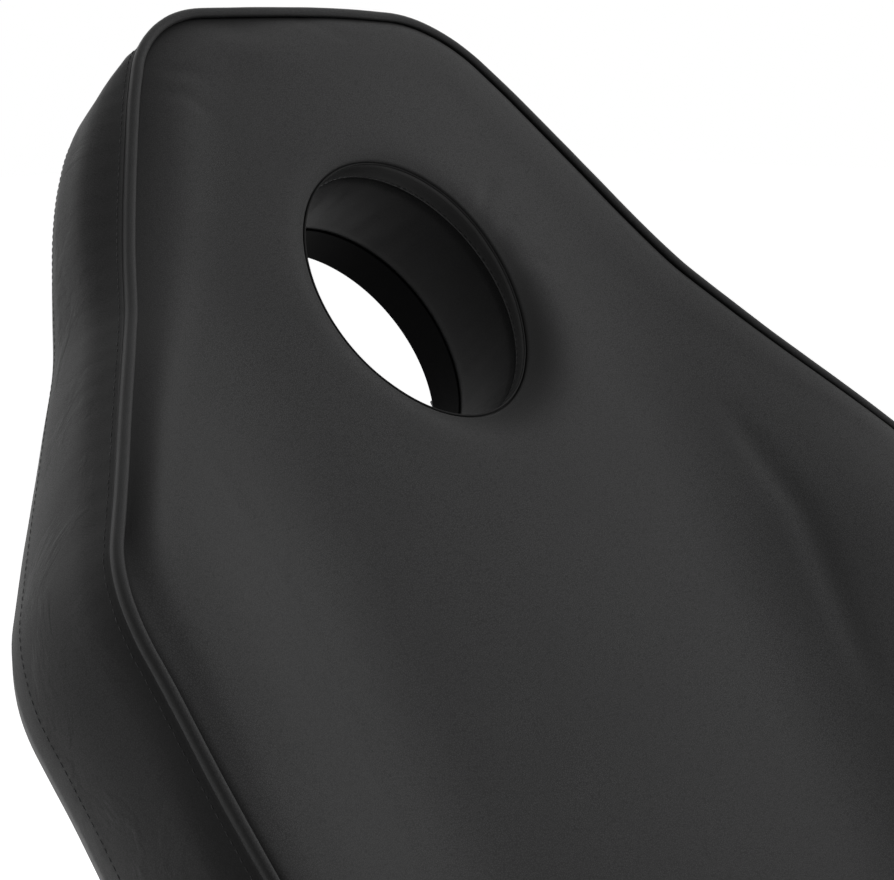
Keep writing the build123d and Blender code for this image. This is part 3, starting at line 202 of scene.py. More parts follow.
def spread_grid(columns, rows, place):
    """A surface that closes round its columns and round its rows."""
    form = bmesh.new()
    bmesh.ops.create_grid(form, x_segments=columns, y_segments=rows, size=1)
    for corner in form.verts:
        i = round((corner.co.x + 1) / 2 * columns) % columns
        j = round((corner.co.y + 1) / 2 * rows) % rows
        corner.co = place(i, j)
    bmesh.ops.remove_doubles(form, verts=form.verts, dist=1e-7)
    return form


def paint(node, finish):
    """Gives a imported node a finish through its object's material slots."""
    for holder in node.material_slots:
        holder.link = "OBJECT"
        holder.material = finish


# Shader node groups


def start_group(name, inputs, outputs):
    """An empty node group with number inputs, each with its usual value, and number outputs."""
    tree = bpy.data.node_groups.new(name, "ShaderNodeTree")
    for label, value in inputs.items():
        socket = tree.interface.new_socket(label, in_out="INPUT", socket_type="NodeSocketFloat")
        socket.default_value = value
    for label in outputs:
        tree.interface.new_socket(label, in_out="OUTPUT", socket_type="NodeSocketFloat")
    return tree, tree.nodes.new("NodeGroupInput"), tree.nodes.new("NodeGroupOutput")


def add_node(tree, kind, values=(), **settings):
    """A node with its settings, and its inputs from numbers or from other nodes' outputs."""
    node = tree.nodes.new(kind)
    for key, value in settings.items():
        setattr(node, key, value)
    for key, value in dict(values).items():
        if isinstance(value, bpy.types.NodeSocket):
            tree.links.new(value, node.inputs[key])
        else:
            node.inputs[key].default_value = value
    return node


def maths(tree, operation, a, b=0.0):
    """One sum on two numbers or outputs."""
    return add_node(tree, "ShaderNodeMath", {0: a, 1: b}, operation=operation).outputs[0]


def stretch(tree, value, from_low, from_high, to_low, to_high):
    """Maps a value from one range to another, held at the ends."""
    values = {1: from_low, 2: from_high, 3: to_low, 4: to_high, 0: value}
    return add_node(tree, "ShaderNodeMapRange", values, clamp=True).outputs[0]


def add_share(tree, base, mask, share):
    """A number that a mask adds a share to."""
    return maths(tree, "ADD", maths(tree, "MULTIPLY", mask, share), base)


def vector_maths(tree, operation, a, b):
    """The outputs of one sum on two vectors."""
    return add_node(tree, "ShaderNodeVectorMath", {0: a, 1: b}, operation=operation).outputs


def object_place(tree):
    """The object's own coordinates."""
    return add_node(tree, "ShaderNodeTexCoord").outputs["Object"]


def noise_texture(tree, place, scale, detail, **further):
    """The outputs of a noise of one scale and detail."""
    values = {"Vector": place, "Scale": scale, "Detail": detail, **further}
    return add_node(tree, "ShaderNodeTexNoise", values).outputs


def make_leather_grain():
    """Fine pebbled grain with creases between the pebbles."""
    inputs = {"Scale": 900.0, "Unevenness": 0.5}
    tree, given, out = start_group("leather grain", inputs, ("Height", "Pebbles"))
    place = object_place(tree)
    bend = noise_texture(tree, place, 240.0, 2.0)["Color"]
    shift = vector_maths(tree, "MULTIPLY", bend, (0.0015,) * 3)[0]
    moved = vector_maths(tree, "ADD", place, shift)[0]
    values = {"Vector": moved, "Scale": given.outputs["Scale"]}
    cells = add_node(tree, "ShaderNodeTexVoronoi", values, feature="DISTANCE_TO_EDGE")
    pebbles = stretch(tree, cells.outputs["Distance"], 0.0, 0.22, 0.0, 1.0)
    uneven = noise_texture(tree, place, 420.0, 3.0, Roughness=0.6)[0]
    lumps = maths(tree, "MULTIPLY", uneven, given.outputs["Unevenness"])
    tree.links.new(maths(tree, "ADD", pebbles, lumps), out.inputs["Height"])
    tree.links.new(pebbles, out.inputs["Pebbles"])
    return tree


def make_soft_wrinkles():
    """Broad lazy wrinkles, as stretched cloth has over foam."""
    inputs = {"Scale": 22.0, "Sharpness": 2.0}
    tree, given, out = start_group("soft wrinkles", inputs, ("Height",))
    scale = given.outputs["Scale"]
    waves = noise_texture(tree, object_place(tree), scale, 4.0, Roughness=0.55, Distortion=0.6)[0]
    centred = maths(tree, "SUBTRACT", waves, 0.5)
    slope = maths(tree, "MULTIPLY", maths(tree, "ABSOLUTE", centred), 4.0)
    ridge = maths(tree, "MAXIMUM", maths(tree, "SUBTRACT", 1.0, slope), 0.0)
    creases = maths(tree, "POWER", ridge, given.outputs["Sharpness"])
    height = maths(tree, "SUBTRACT", waves, maths(tree, "MULTIPLY", creases, 0.25))
    tree.links.new(height, out.inputs["Height"])
    return tree


def make_edge_wear():
    """Where hands and feet rub a hard edge bright."""
    tree, given, out = start_group("edge wear", {"Width": 0.002, "Patchiness": 0.6}, ("Mask",))
    flat = add_node(tree, "ShaderNodeNewGeometry").outputs["Normal"]
    bevel = add_node(tree, "ShaderNodeBevel", {"Radius": given.outputs["Width"]}, samples=4)
    facing = vector_maths(tree, "DOT_PRODUCT", flat, bevel.outputs["Normal"])["Value"]
    edge = stretch(tree, facing, 0.995, 0.85, 0.0, 1.0)
    patches = noise_texture(tree, object_place(tree), 90.0, 5.0, Roughness=0.7)[0]
    missed = maths(tree, "MULTIPLY", given.outputs["Patchiness"], 0.8)
    kept = stretch(tree, maths(tree, "SUBTRACT", patches, missed), 0.0, 0.12, 0.0, 1.0)
    tree.links.new(maths(tree, "MULTIPLY", edge, kept), out.inputs["Mask"])
    return tree


def make_smudges():
    """Uneven patches of wiped and handled surface, with fine brush scratches."""
    inputs = {"Scale": 14.0, "Scratch scale": 500.0}
    tree, given, out = start_group("smudges", inputs, ("Patches", "Scratches"))
    place = object_place(tree)
    scale = given.outputs["Scale"]
    patches = noise_texture(tree, place, scale, 6.0, Roughness=0.62, Distortion=0.4)[0]
    tree.links.new(stretch(tree, patches, 0.35, 0.7, 0.0, 1.0), out.inputs["Patches"])
    brushed = {"Vector": place, "Scale": (1.0, 0.06, 1.0), "Rotation": (0.3, 0.2, 0.7)}
    drawn = add_node(tree, "ShaderNodeMapping", brushed).outputs[0]
    lines = noise_texture(tree, drawn, given.outputs["Scratch scale"], 2.0)[0]
    tree.links.new(stretch(tree, lines, 0.62, 0.72, 0.0, 1.0), out.inputs["Scratches"])
    return tree


leather_grain = make_leather_grain()
soft_wrinkles = make_soft_wrinkles()
edge_wear = make_edge_wear()
smudges = make_smudges()


def start_finish(name, **sockets):
    """A material with one Principled shader, and its plain numbers on the shader's sockets."""
    finish = bpy.data.materials.new(name)
    finish.use_nodes = True
    tree = finish.node_tree
    shader = tree.nodes["Principled BSDF"]
    for key, value in sockets.items():
        shader.inputs[key.replace("_", " ")].default_value = value
    return finish, tree, shader


def place_group(tree, group, **values):
    """One of the shared groups, with this finish's own numbers."""
    node = tree.nodes.new("ShaderNodeGroup")
    node.node_tree = group
    for key, value in values.items():
        node.inputs[key.replace("_", " ")].default_value = value
    return node.outputs


def blend_colours(tree, mask, low, high):
    """A colour that goes from low to high with the mask."""
    node = tree.nodes.new("ShaderNodeMix")
    node.data_type = "RGBA"
    tree.links.new(mask, node.inputs[0])
    for index, colour in ((6, low), (7, high)):
        if isinstance(colour, bpy.types.NodeSocket):
            tree.links.new(colour, node.inputs[index])
        else:
            node.inputs[index].default_value = (*colour, 1.0)
    return node.outputs[2]


def raise_surface(tree, shader, layers):
    """Stacks height layers, each (height, strength, depth in metres), into the shader's normal."""
    normal = None
    for height, strength, depth in layers:
        values = {"Strength": strength, "Distance": depth, "Height": height}
        bump = add_node(tree, "ShaderNodeBump", values)
        if normal:
            tree.links.new(normal, bump.inputs["Normal"])
        normal = bump.outputs["Normal"]
    tree.links.new(normal, shader.inputs["Normal"])


def shade(colour, share):
    """The same colour, lighter or darker."""
    return tuple(part * share for part in colour)


def read_attribute(tree, name):
    """A number that the mesh carries at each of its points."""
    return add_node(tree, "ShaderNodeAttribute", attribute_name=name).outputs["Fac"]


def make_leatherette(name, colour, worn_colour, grain_scale, grain, wrinkle, roughness, shine):
    """Coated cloth: pebbled, softly wrinkled where it is slack, shinier on the pebbles, and darkened
    by painted shade where its mesh marks it.
    """
    finish, tree, shader = start_finish(name, Specular_IOR_Level=shine)
    grains = place_group(tree, leather_grain, Scale=grain_scale)
    folds = place_group(tree, soft_wrinkles)
    marks = place_group(tree, smudges, Scale=9.0)
    tone = blend_colours(tree, marks["Patches"], colour, worn_colour)
    pebbled = blend_colours(tree, grains["Pebbles"], shade(colour, 0.6), tone)
    # Painted shade: the mesh's hollow attribute darkens the colour, towards about an eighth of it,
    # at seams, on the wall under the welt and round the face hole
    with_painted_shade = blend_colours(tree, read_attribute(tree, "hollow"), pebbled, shade(colour, 0.12))
    tree.links.new(with_painted_shade, shader.inputs["Base Color"])
    wiped = add_share(tree, roughness, marks["Patches"], 0.06)
    rough = add_share(tree, wiped, grains["Pebbles"], -0.05)
    tree.links.new(rough, shader.inputs["Roughness"])
    looseness = maths(tree, "ADD", read_attribute(tree, "slack"), 0.1)
    waves = maths(tree, "MULTIPLY", folds["Height"], looseness)
    raise_surface(tree, shader, [(waves, 1.0, wrinkle), (grains["Height"], grain, 0.00025)])
    return finish


def make_painted_steel(name, colour, roughness):
    """Powder coat: orange peel, a few rubbed edges and dull patches."""
    finish, tree, shader = start_finish(name, Specular_IOR_Level=0.45)
    wear = place_group(tree, edge_wear, Width=0.0015, Patchiness=0.62)
    marks = place_group(tree, smudges, Scale=18.0)
    peel = noise_texture(tree, object_place(tree), 850.0, 2.0, Roughness=0.4)[0]
    tone = blend_colours(tree, marks["Patches"], colour, shade(colour, 1.35))
    bare = blend_colours(tree, wear["Mask"], tone, (0.3, 0.3, 0.31))
    tree.links.new(bare, shader.inputs["Base Color"])
    tree.links.new(maths(tree, "MULTIPLY", wear["Mask"], 0.8), shader.inputs["Metallic"])
    dull = add_share(tree, roughness, marks["Patches"], 0.1)
    tree.links.new(dull, shader.inputs["Roughness"])
    raise_surface(tree, shader, [(peel, 0.35, 0.0003)])
    return finish


def make_bright_steel(name, colour, roughness, scratch):
    """Plated or bare bright metal with wiped patches and fine scratches."""
    finish, tree, shader = start_finish(name, Metallic=1.0)
    marks = place_group(tree, smudges, Scale=26.0, Scratch_scale=700.0)
    tone = blend_colours(tree, marks["Patches"], colour, shade(colour, 0.86))
    tree.links.new(tone, shader.inputs["Base Color"])
    worn = add_share(tree, roughness, marks["Scratches"], 0.12)
    dull = add_share(tree, worn, marks["Patches"], roughness * 0.7)
    tree.links.new(dull, shader.inputs["Roughness"])
    raise_surface(tree, shader, [(marks["Scratches"], scratch, 0.0001)])
    return finish


def make_moulded(name, colour, roughness, speckle):
    """Moulded rubber or plastic with a fine eroded texture."""
    finish, tree, shader = start_finish(name, Specular_IOR_Level=0.4)
    wear = place_group(tree, edge_wear, Width=0.0012, Patchiness=0.4)
    marks = place_group(tree, smudges, Scale=30.0)
    pits = noise_texture(tree, object_place(tree), 1600.0, 3.0, Roughness=0.6)[0]
    tone = blend_colours(tree, marks["Patches"], colour, shade(colour, 1.5))
    rubbed = blend_colours(tree, wear["Mask"], tone, shade(colour, 2.6))
    tree.links.new(rubbed, shader.inputs["Base Color"])
    rough = add_share(tree, roughness, marks["Patches"], 0.12)
    tree.links.new(rough, shader.inputs["Roughness"])
    raise_surface(tree, shader, [(pits, speckle, 0.0002)])
    return finish


def make_woven(name, colour, thread_scale):
    """Plain woven cloth with crossing threads."""
    looks = dict(Specular_IOR_Level=0.2, Sheen_Weight=0.15, Sheen_Roughness=0.5)
    finish, tree, shader = start_finish(name, **looks)
    values = {"Vector": object_place(tree), "Scale": thread_scale, "Distortion": 0.4}
    across = add_node(tree, "ShaderNodeTexWave", values, bands_direction="X")
    along = add_node(tree, "ShaderNodeTexWave", values, bands_direction="Z")
    weave = maths(tree, "MULTIPLY", across.outputs[1], along.outputs[1])
    marks = place_group(tree, smudges, Scale=12.0)
    tone = blend_colours(tree, weave, shade(colour, 0.45), colour)
    dusty = blend_colours(tree, marks["Patches"], tone, shade(colour, 1.3))
    tree.links.new(dusty, shader.inputs["Base Color"])
    rough = add_share(tree, 0.82, marks["Patches"], 0.08)
    tree.links.new(rough, shader.inputs["Roughness"])
    raise_surface(tree, shader, [(weave, 0.7, 0.0003)])
    return finish


def make_plywood(name):
    """Birch plywood: pale rings along the sheet, thin darker plies on the edge."""
    finish, tree, shader = start_finish(name, Specular_IOR_Level=0.35)
    sheet = {"Vector": object_place(tree), "Scale": (9.0, 0.7, 0.7)}
    drawn = add_node(tree, "ShaderNodeMapping", sheet).outputs[0]
    rings = noise_texture(tree, drawn, 14.0, 8.0, Distortion=0.8)[0]
    pores = noise_texture(tree, drawn, 160.0, 3.0)[0]
    ringed = stretch(tree, rings, 0.35, 0.65, 0.0, 1.0)
    tone = blend_colours(tree, ringed, (0.40, 0.27, 0.15), (0.55, 0.40, 0.24))
    pored = stretch(tree, pores, 0.58, 0.7, 0.0, 1.0)
    grain = blend_colours(tree, pored, tone, (0.26, 0.17, 0.09))
    tree.links.new(grain, shader.inputs["Base Color"])
    tree.links.new(stretch(tree, rings, 0.3, 0.7, 0.5, 0.62), shader.inputs["Roughness"])
    raise_surface(tree, shader, [(pores, 0.3, 0.0003)])
    return finish


panel_leather = make_leatherette(
    "black panel leatherette",
    colour=(0.019, 0.019, 0.0192),
    worn_colour=(0.023, 0.023, 0.0232),
    grain_scale=950.0,
    grain=0.12,
    wrinkle=0.0007,
    roughness=0.5,
    shine=0.1,
)
welt_leather = make_leatherette(
    "black welt leatherette",
    colour=(0.018, 0.018, 0.0182),
    worn_colour=(0.022, 0.022, 0.0222),
    grain_scale=1100.0,
    grain=0.12,
    wrinkle=0.0006,
    roughness=0.45,
    shine=0.12,
)
# The lining's colour is the panel leatherette's darkened by about a third: painted shade inside the
# face hole
lining_leather = make_leatherette(
    "hole lining leatherette",
    colour=(0.0125, 0.0125, 0.0127),
    worn_colour=(0.015, 0.015, 0.0152),
    grain_scale=950.0,
    grain=0.14,
    wrinkle=0.001,
    roughness=0.5,
    shine=0.06,
)
band_leather = make_leatherette(
    "black board band",
    colour=(0.002, 0.002, 0.0021),
    worn_colour=(0.003, 0.003, 0.0031),
    grain_scale=950.0,
    grain=0.14,
    wrinkle=0.001,
    roughness=0.6,
    shine=0.015,
)
seam_thread = make_woven("black sewing thread", (0.045, 0.045, 0.046), 2200.0)
staple_steel = make_bright_steel("staple wire", (0.55, 0.56, 0.57), 0.3, 0.2)

finishes = {
    "black_leatherette": panel_leather,
    "black_welt": welt_leather,
    "cushion_foam": make_moulded("yellow cushion foam", (0.62, 0.55, 0.33), 0.9, 1.0),
    "plywood": make_plywood("birch plywood"),
    "black_back_cloth": make_woven("black back cloth", (0.012, 0.012, 0.0122), 900.0),
    "black_frame_paint": make_painted_steel("black powder coat", (0.022, 0.022, 0.023), 0.38),
    "chromed_steel": make_bright_steel("chrome plate", (0.78, 0.79, 0.8), 0.07, 0.1),
    "bright_steel": make_bright_steel("bright steel", (0.58, 0.58, 0.59), 0.24, 0.3),
    "zinc_fasteners": make_bright_steel("zinc plate", (0.56, 0.57, 0.58), 0.33, 0.3),
    "base_rubber": make_moulded("black base rubber", (0.018, 0.018, 0.018), 0.75, 0.6),
    "tread_rubber": make_moulded("ribbed tread rubber", (0.02, 0.02, 0.02), 0.68, 0.6),
    "black_knob_plastic": make_moulded("black knob plastic", (0.014, 0.014, 0.015), 0.32, 0.25),
}
for part in frame["record"]["subparts"]:
    paint(nodes[part["node"]], finishes[part["material_slot"]])

# Backrest upholstery

backrest_matrix = pad_matrix(backrest)
backrest_depth = backrest["thickness"]
backrest_length = 760
rise_shares = (-0.03, 0.05, 0.13, 0.22, 0.42, 0.52, 0.6, 0.67, 0.74, 0.82, 0.92, 1.03)
side_rise = smooth_table(
    [backrest_length * share for share in rise_shares],
    [2, 4, 18, 38.4, 40, 41.5, 32.5, 24.5, 18.5, 8.4, 3.2, 2],
)
wall_growth = smooth_table([-90, -80.5, -65.7, -36, 4.5, 45], [-34, -17, -1, 4.1, 3.4, 1.4])
side_fullness = smooth_table(
    [0, 240, 340, 420, 500, 580, 660, 715, 745],
    [6.6, 7, 2.4, 2.2, 5, 6, 11, 4, -6],
)

around = 520
backrest_edge = []
for x, y, out_x, out_y in rounded_outline(backrest, around):
    # The cover is sewn a little fuller at the right of its neck, and tighter round its head end
    fuller = 7.5 * exp(-(((y - 645) / 78) ** 2)) * ease(60, 150, x)
    tighter = 4.3 * ease(690, 750, y) + 3.0 * exp(-((hypot(x - 86, y - 738) / 40) ** 2))
    backrest_edge.append((x + fuller, y - tighter, out_x, out_y))


def wall_fullness(x, y, drop):
    """How much fuller or tighter the wall is than its plain section, at one depth."""
    full = side_fullness(y) * (ease(0, 26, drop) if y < 735 else ease(0, 9, drop))
    corner = 9 * exp(-((hypot(abs(x) - 105, y - 758) / 38) ** 2)) * ease(4, 45, drop)
    over_board = ease(50, 80, drop) * ease(620, 710, y)
    return (full - corner) * (1 - over_board) + 5 * ease(660, 730, y) * over_board


# Steps in along each spoke over the face: from the hole's rim, and then from the welt
rim_steps = [0.8, 1.2, 1.8, 2.7, 4, 5.8, 8, 11, 15, 20]
seam_steps = [20, 15, 11.5, 8.5, 6.2, 4.4, 2.9, 1.6, 0.6, -0.4]
middle_count = 52

# Creases listed, each through three places in the pad's frame, with its width and depth
backrest_creases = [
    ((180, 478), (190, 414), (182, 300), 8, 2.4),
    ((-196, 500), (-178, 380), (-168, 150), 7, 0.7),
    ((-114, 718), (-100, 715), (-84, 712), 4, 0.8),
    ((-118, 706), (-104, 700), (-92, 690), 4, 0.7),
    ((-5, 752), (10, 744), (28, 736), 5, 0.6),
    ((74, 606), (84, 614), (96, 618), 4, 0.7),
    ((68, 622), (80, 634), (92, 642), 4, 0.7),
    ((80, 588), (92, 590), (104, 588), 5, 0.6),
]


def distance_to_run(point, run):
    """How far a point is from a bent line, and how far along it that is, from 0 to 1."""
    best, share = 1e9, 0
    for k, (a, b) in enumerate(zip(run, run[1:])):
        ax, ay, bx, by = *a, *b
        length = (bx - ax) ** 2 + (by - ay) ** 2
        t = min(max(((point[0] - ax) * (bx - ax) + (point[1] - ay) * (by - ay)) / length, 0), 1)
        away = hypot(point[0] - ax - t * (bx - ax), point[1] - ay - t * (by - ay))
        if away < best:
            best, share = away, (k + t) / (len(run) - 1)
    return best, share


def backrest_height(x, y):
    """How far the backrest's face stands over its flat plane, before its seams pull it in."""
    crown = 5 * cos(min(abs(x) / 174, 1) * pi / 2) ** 2
    bolster = ease(104, 288, abs(x)) * (1.03 - 0.06 * ease(262, 348, abs(x)))
    return crown + side_rise(y) * bolster


def backrest_dents(x, y, rim, seam):
    """How far seams, creases and uneven foam pull the face in.

    It depends on the place and on the distances to the hole's rim and to the welt.
    """
    place = Vector((x, y, 0))
    rim, seam = max(rim, 0), max(seam, 0)
    side = (0.72 * x - 0.69 * (y - hole_y)) / max(hypot(x, y - hole_y), 1)
    hollow = max(side, 0) ** 1.5
    fall = (2.4 + 4.2 * hollow) * exp(-((rim / (7.5 + 9 * hollow)) ** 1.7))
    upper_left = ease(400, 470, y) * ease(20, -60, x)
    valley_reach = 5 + 8 * upper_left
    fall += 4.8 * exp(-((seam / valley_reach) ** 1.5))
    shoulder = exp(-(((y - 440) / 110) ** 2)) * ease(40, -40, x)
    fall += 2.6 * shoulder * exp(-(((seam - 10) / 9) ** 2))
    for start, middle, end, width, depth in backrest_creases:
        away, share = distance_to_run((x, y), (start, middle, end))
        if away < 3 * width:
            along = min(max(share, 0.02), 0.98)
            fall += depth * exp(-((away / width) ** 2)) * sin(pi * along) ** 0.5
    fall -= (0.6 + 1.8 * upper_left) * exp(-(((seam - 27) / 15) ** 2))
    fall -= 0.4 * ripple(place, 95) + 0.16 * ripple(place, 34, 7.3)
    return fall


def face_level(x, y, rim, seam):
    """How high the backrest's face stands, with its dents."""
    return backrest_height(x, y) - backrest_dents(x, y, rim, seam)


backrest_outward = [edge[2:] for edge in backrest_edge]
hole_spokes, welt_line = [], []
for x, y, out_x, out_y in backrest_edge:
    spoke = Vector((x, y - hole_y, 0))
    reach = spoke.length
    spoke.normalize()
    rim_reach = 1 / sqrt((spoke.x / hole_half_width) ** 2 + (spoke.y / hole_half_length) ** 2)
    hole_spokes.append((spoke, rim_reach, reach))
    welt_line.append(Vector((x + 0.4 * out_x, y + 0.4 * out_y, backrest_height(x, y) - welt_sink)))


def spoke_place(i, reach):
    """A place in the pad's plane along one spoke from the hole's centre."""
    spoke = hole_spokes[i][0]
    return spoke.x * reach, hole_y + spoke.y * reach


# The rows of one spoke's section: up the hole, over the face, down the wall and under the foam
hole_wall = [
    (2.0, -67.5),
    (2.0, -40.0),
    (2.0, -15.5),
    (1.5, -13.4),
    (0.3, -12.9),
    (-0.25, -12.2),
    (-0.4, -10.8),
    (-0.35, -8.0),
    (-0.3, -4.5),
    (-0.5, -2.3),
    (-0.95, -1.6),
    (-0.95, -0.8),
    (-0.4, -0.5),
    (0.1, -1.1),
    (0.3, -2.3),
    (0.55, -1.7),
]
face_count = len(rim_steps) + middle_count - 1 + len(seam_steps)
wall_drops = [0, 0.7, 1.4, 2.1, 3.2, 4.8, 7, 10.5, 15, 20, 26, 33, 41, 50, 59, 68, 76, 83, 88, 90]
under_rows = 4


def hole_point(i, j):
    """A point of the cover inside the hole: behind the lining, on the sewn strip, or on its bead."""
    _, rim_reach, reach = hole_spokes[i]
    inset, height = hole_wall[j]
    level = face_level(*spoke_place(i, rim_reach), 0, reach)
    x, y = spoke_place(i, rim_reach + inset)
    return Vector((x, y, height + level * ease(-13, -2.5, height)))


def face_point(i, j):
    """A point of the face, which has a rounded rim at the hole."""
    _, rim_reach, reach = hole_spokes[i]
    last = j - len(rim_steps) - middle_count + 1
    if j < len(rim_steps):
        along = rim_reach + rim_steps[j]
    elif last < 0:
        share = (j - len(rim_steps) + 1) / middle_count
        low, high = rim_reach + rim_steps[-1], reach - seam_steps[0]
        along = low + (high - low) * share
    else:
        along = reach - seam_steps[last]
    x, y = spoke_place(i, along)
    rounding = max(rim_rounding - (along - rim_reach), 0)
    sunk = rim_sink - sqrt(max(rim_sink**2 - rounding**2, 0))
    return Vector((x, y, face_level(x, y, along - rim_reach, reach - along) - sunk))


def wall_point(i, j):
    """A point of the side wall, which is gathered under the welt and bulges a little."""
    x, y, out_x, out_y = backrest_edge[i]
    top = backrest_height(x, y) - wall_lead
    drop = wall_drops[j] / backrest_depth * (backrest_depth + top)
    height = top - drop
    tuck = 3.3 * exp(-drop / 3)
    fold = 1.3 * exp(-(((drop - 1.5) / 0.7) ** 2))
    bulge = 1.6 * sin(pi * min(drop / 80, 1)) - tuck + fold
    place = Vector((x, y, height))
    waves = 0.7 * ripple(place, 60, 3.1) + 0.2 * ripple(place, 24, 5.9)
    gathers = sin(2 * pi * i / around * gather_count + 3 * ripple(place, 60))
    pucker = 0.35 * exp(-drop / 14) * (1 - exp(-drop / 3)) * gathers
    growth = wall_growth(height) + bulge + (waves + pucker) * min(drop / 10, 1)
    growth += wall_fullness(x, y, drop)
    return Vector((x + growth * out_x, y + growth * out_y, height))


def under_point(i, j):
    """A point of the cover turned in over the board's back, or of the foam's own back."""
    x, y, out_x, out_y = backrest_edge[i]
    turned = Vector((x - wrap * out_x, y - wrap * out_y, board_face))
    if j == 0:
        turned.z = -backrest_depth
    if j < 2:
        return turned
    inner = Vector((*spoke_place(i, hole_spokes[i][1] + 2.0), board_face))
    return turned.lerp(inner, (0.33, 0.7)[j - 2])


sections = (
    (len(hole_wall), hole_point),
    (face_count, face_point),
    (len(wall_drops), wall_point),
    (under_rows, under_point),
)


def upholstery_point(i, j):
    """One crossing of the backrest upholstery."""
    for count, section_point in sections:
        if j < count:
            return backrest_matrix @ section_point(i, j)
        j -= count


def painted_hollow_shade(local, seam, below):
    """Painted shade: how much the leather's colour is darkened where it sinks to a seam, on the wall
    under the welt, and round and inside the face hole.
    """
    if below >= 0:
        return 0.5 * exp(-((below / 15) ** 2)) + 0.4 * exp(-((below / 6) ** 4))
    x, y = local.x, local.y - hole_y
    reach = hypot(x, y)
    rim = reach * (1 - 1 / sqrt((x / hole_half_width) ** 2 + (y / hole_half_length) ** 2))
    if rim < 0.6:
        return 0.85
    side = max((0.78 * x - 0.62 * y) / reach, 0) ** 1.5
    halo = (0.25 + 0.74 * side) * exp(-((rim / (5 + 17 * side)) ** 2.6))
    valley = ease(400, 460, local.y) * ease(0, -60, x) * exp(-((seam / 15) ** 2))
    deepest = exp(-(((local.y - 490) / 55) ** 2))
    seam_shade = 0.92 * exp(-((seam / 5.2) ** 4))
    return max(halo, valley * (0.6 + 0.25 * deepest), seam_shade)


backrest_upholstery = finish_piece(
    spread_grid(around, sum(count for count, _ in sections), upholstery_point),
    "backrest_upholstery",
    panel_leather,
    "backrest",
    ("backrest_cover", "backrest_foam"),
)
slackness = backrest_upholstery.data.attributes.new("slack", "FLOAT", "POINT")
to_pad = backrest_matrix.inverted()
edge_tree = KDTree(around)
for i, point in enumerate(welt_line):
    edge_tree.insert(point, i)
edge_tree.balance()
# The hollow attribute carries painted shade, which darkens the leatherette's colour
painted_shade_layer = backrest_upholstery.data.attributes.new("hollow", "FLOAT", "POINT")
for vertex in backrest_upholstery.data.vertices:
    local = to_pad @ vertex.co
    point, i, _ = edge_tree.find(local)
    below = point.z - local.z
    out_x, out_y = backrest_outward[i]
    outside = (local.x - point.x) * out_x + (local.y - point.y) * out_y
    on_wall = outside > -below * 0.6 - 2
    slackness.data[vertex.index].value = ease(2, 26, below) if on_wall else 0.0
    painted_shade_amount = painted_hollow_shade(local, max(-outside, 0), below if on_wall else -1)
    painted_shade_layer.data[vertex.index].value = painted_shade_amount


# Welts


def lay_welt(name, matrix, line, outward, body, replaced):
    """A sewn welt: a covered cord with its seam allowance as a thin lip on the outer side."""
    count = len(line)
    sides = 18
    lip_turn, lip_width = 1.8 * pi, 0.22

    def place(i, j):
        turn = 2 * pi * j / sides
        onward = (line[(i + 1) % count] - line[i - 1]).normalized()
        out = Vector((*outward[i], 0))
        out = (out - onward * out.dot(onward)).normalized()
        up = onward.cross(out)
        if up.z < 0:
            up = -up
        lip = 0.9 * exp(-(((turn - lip_turn) / lip_width) ** 2))
        reach = welt_radius + lip + 0.08 * ripple(line[i], 14)
        return matrix @ (line[i] + out * cos(turn) * reach + up * sin(turn) * reach)

    form = spread_grid(count, sides, place)
    finish_piece(form, name, welt_leather, body, (replaced,))


lay_welt(
    "backrest_welt", backrest_matrix, welt_line, backrest_outward, "backrest", "backrest_piping"
)

# Face hole: sewn lining, its stitches and the black band over the board's edge


def hole_ring(name, finish, depths, inner, wall, replaced=()):
    """A sleeve round the face hole, from one depth to another and back up behind itself."""
    turns = 360
    down = len(depths)

    def place(i, j):
        angle = 2 * pi * i / turns
        side = Vector((cos(angle), sin(angle), 0))
        depth = depths[j if j < down else 2 * down - 1 - j]
        base = Vector((hole_half_width * side.x, hole_half_length * side.y, -depth))
        grown = inner(angle, depth) if j < down else wall
        return backrest_matrix @ (Vector((0, hole_y, 0)) + base + side * grown)

    form = spread_grid(turns, 2 * down, place)
    finish_piece(form, name, finish, "backrest", replaced)


def lining_wrinkles(angle, depth):
    """How the lining's inner face sinks and folds between its two edges."""
    share = (depth - lining_top) / (lining_depth - lining_top)
    belly = 0.7 * sin(pi * share)
    folds = noise.noise(Vector((cos(angle) * 9, sin(angle) * 9, depth / 60))) * 0.5
    tucked = 0.9 * exp(-((share / 0.05) ** 2)) + 0.6 * exp(-(((1 - share) / 0.06) ** 2))
    return -0.1 - belly + folds * sin(pi * share) + tucked


lining_rows = 24
lining_step = (lining_depth - lining_top) / lining_rows
hole_ring(
    "face_hole_sleeve",
    lining_leather,
    depths=[lining_top + lining_step * k for k in range(lining_rows + 1)],
    inner=lining_wrinkles,
    wall=1.6,
    replaced=("face_hole_lining",),
)
hole_ring(
    "face_hole_board_band",
    band_leather,
    depths=[lining_depth + 0.1, 67, 70, 76, 82, 88, 90.8, 91],
    inner=lambda angle, depth: -0.5,
    wall=1.2,
)


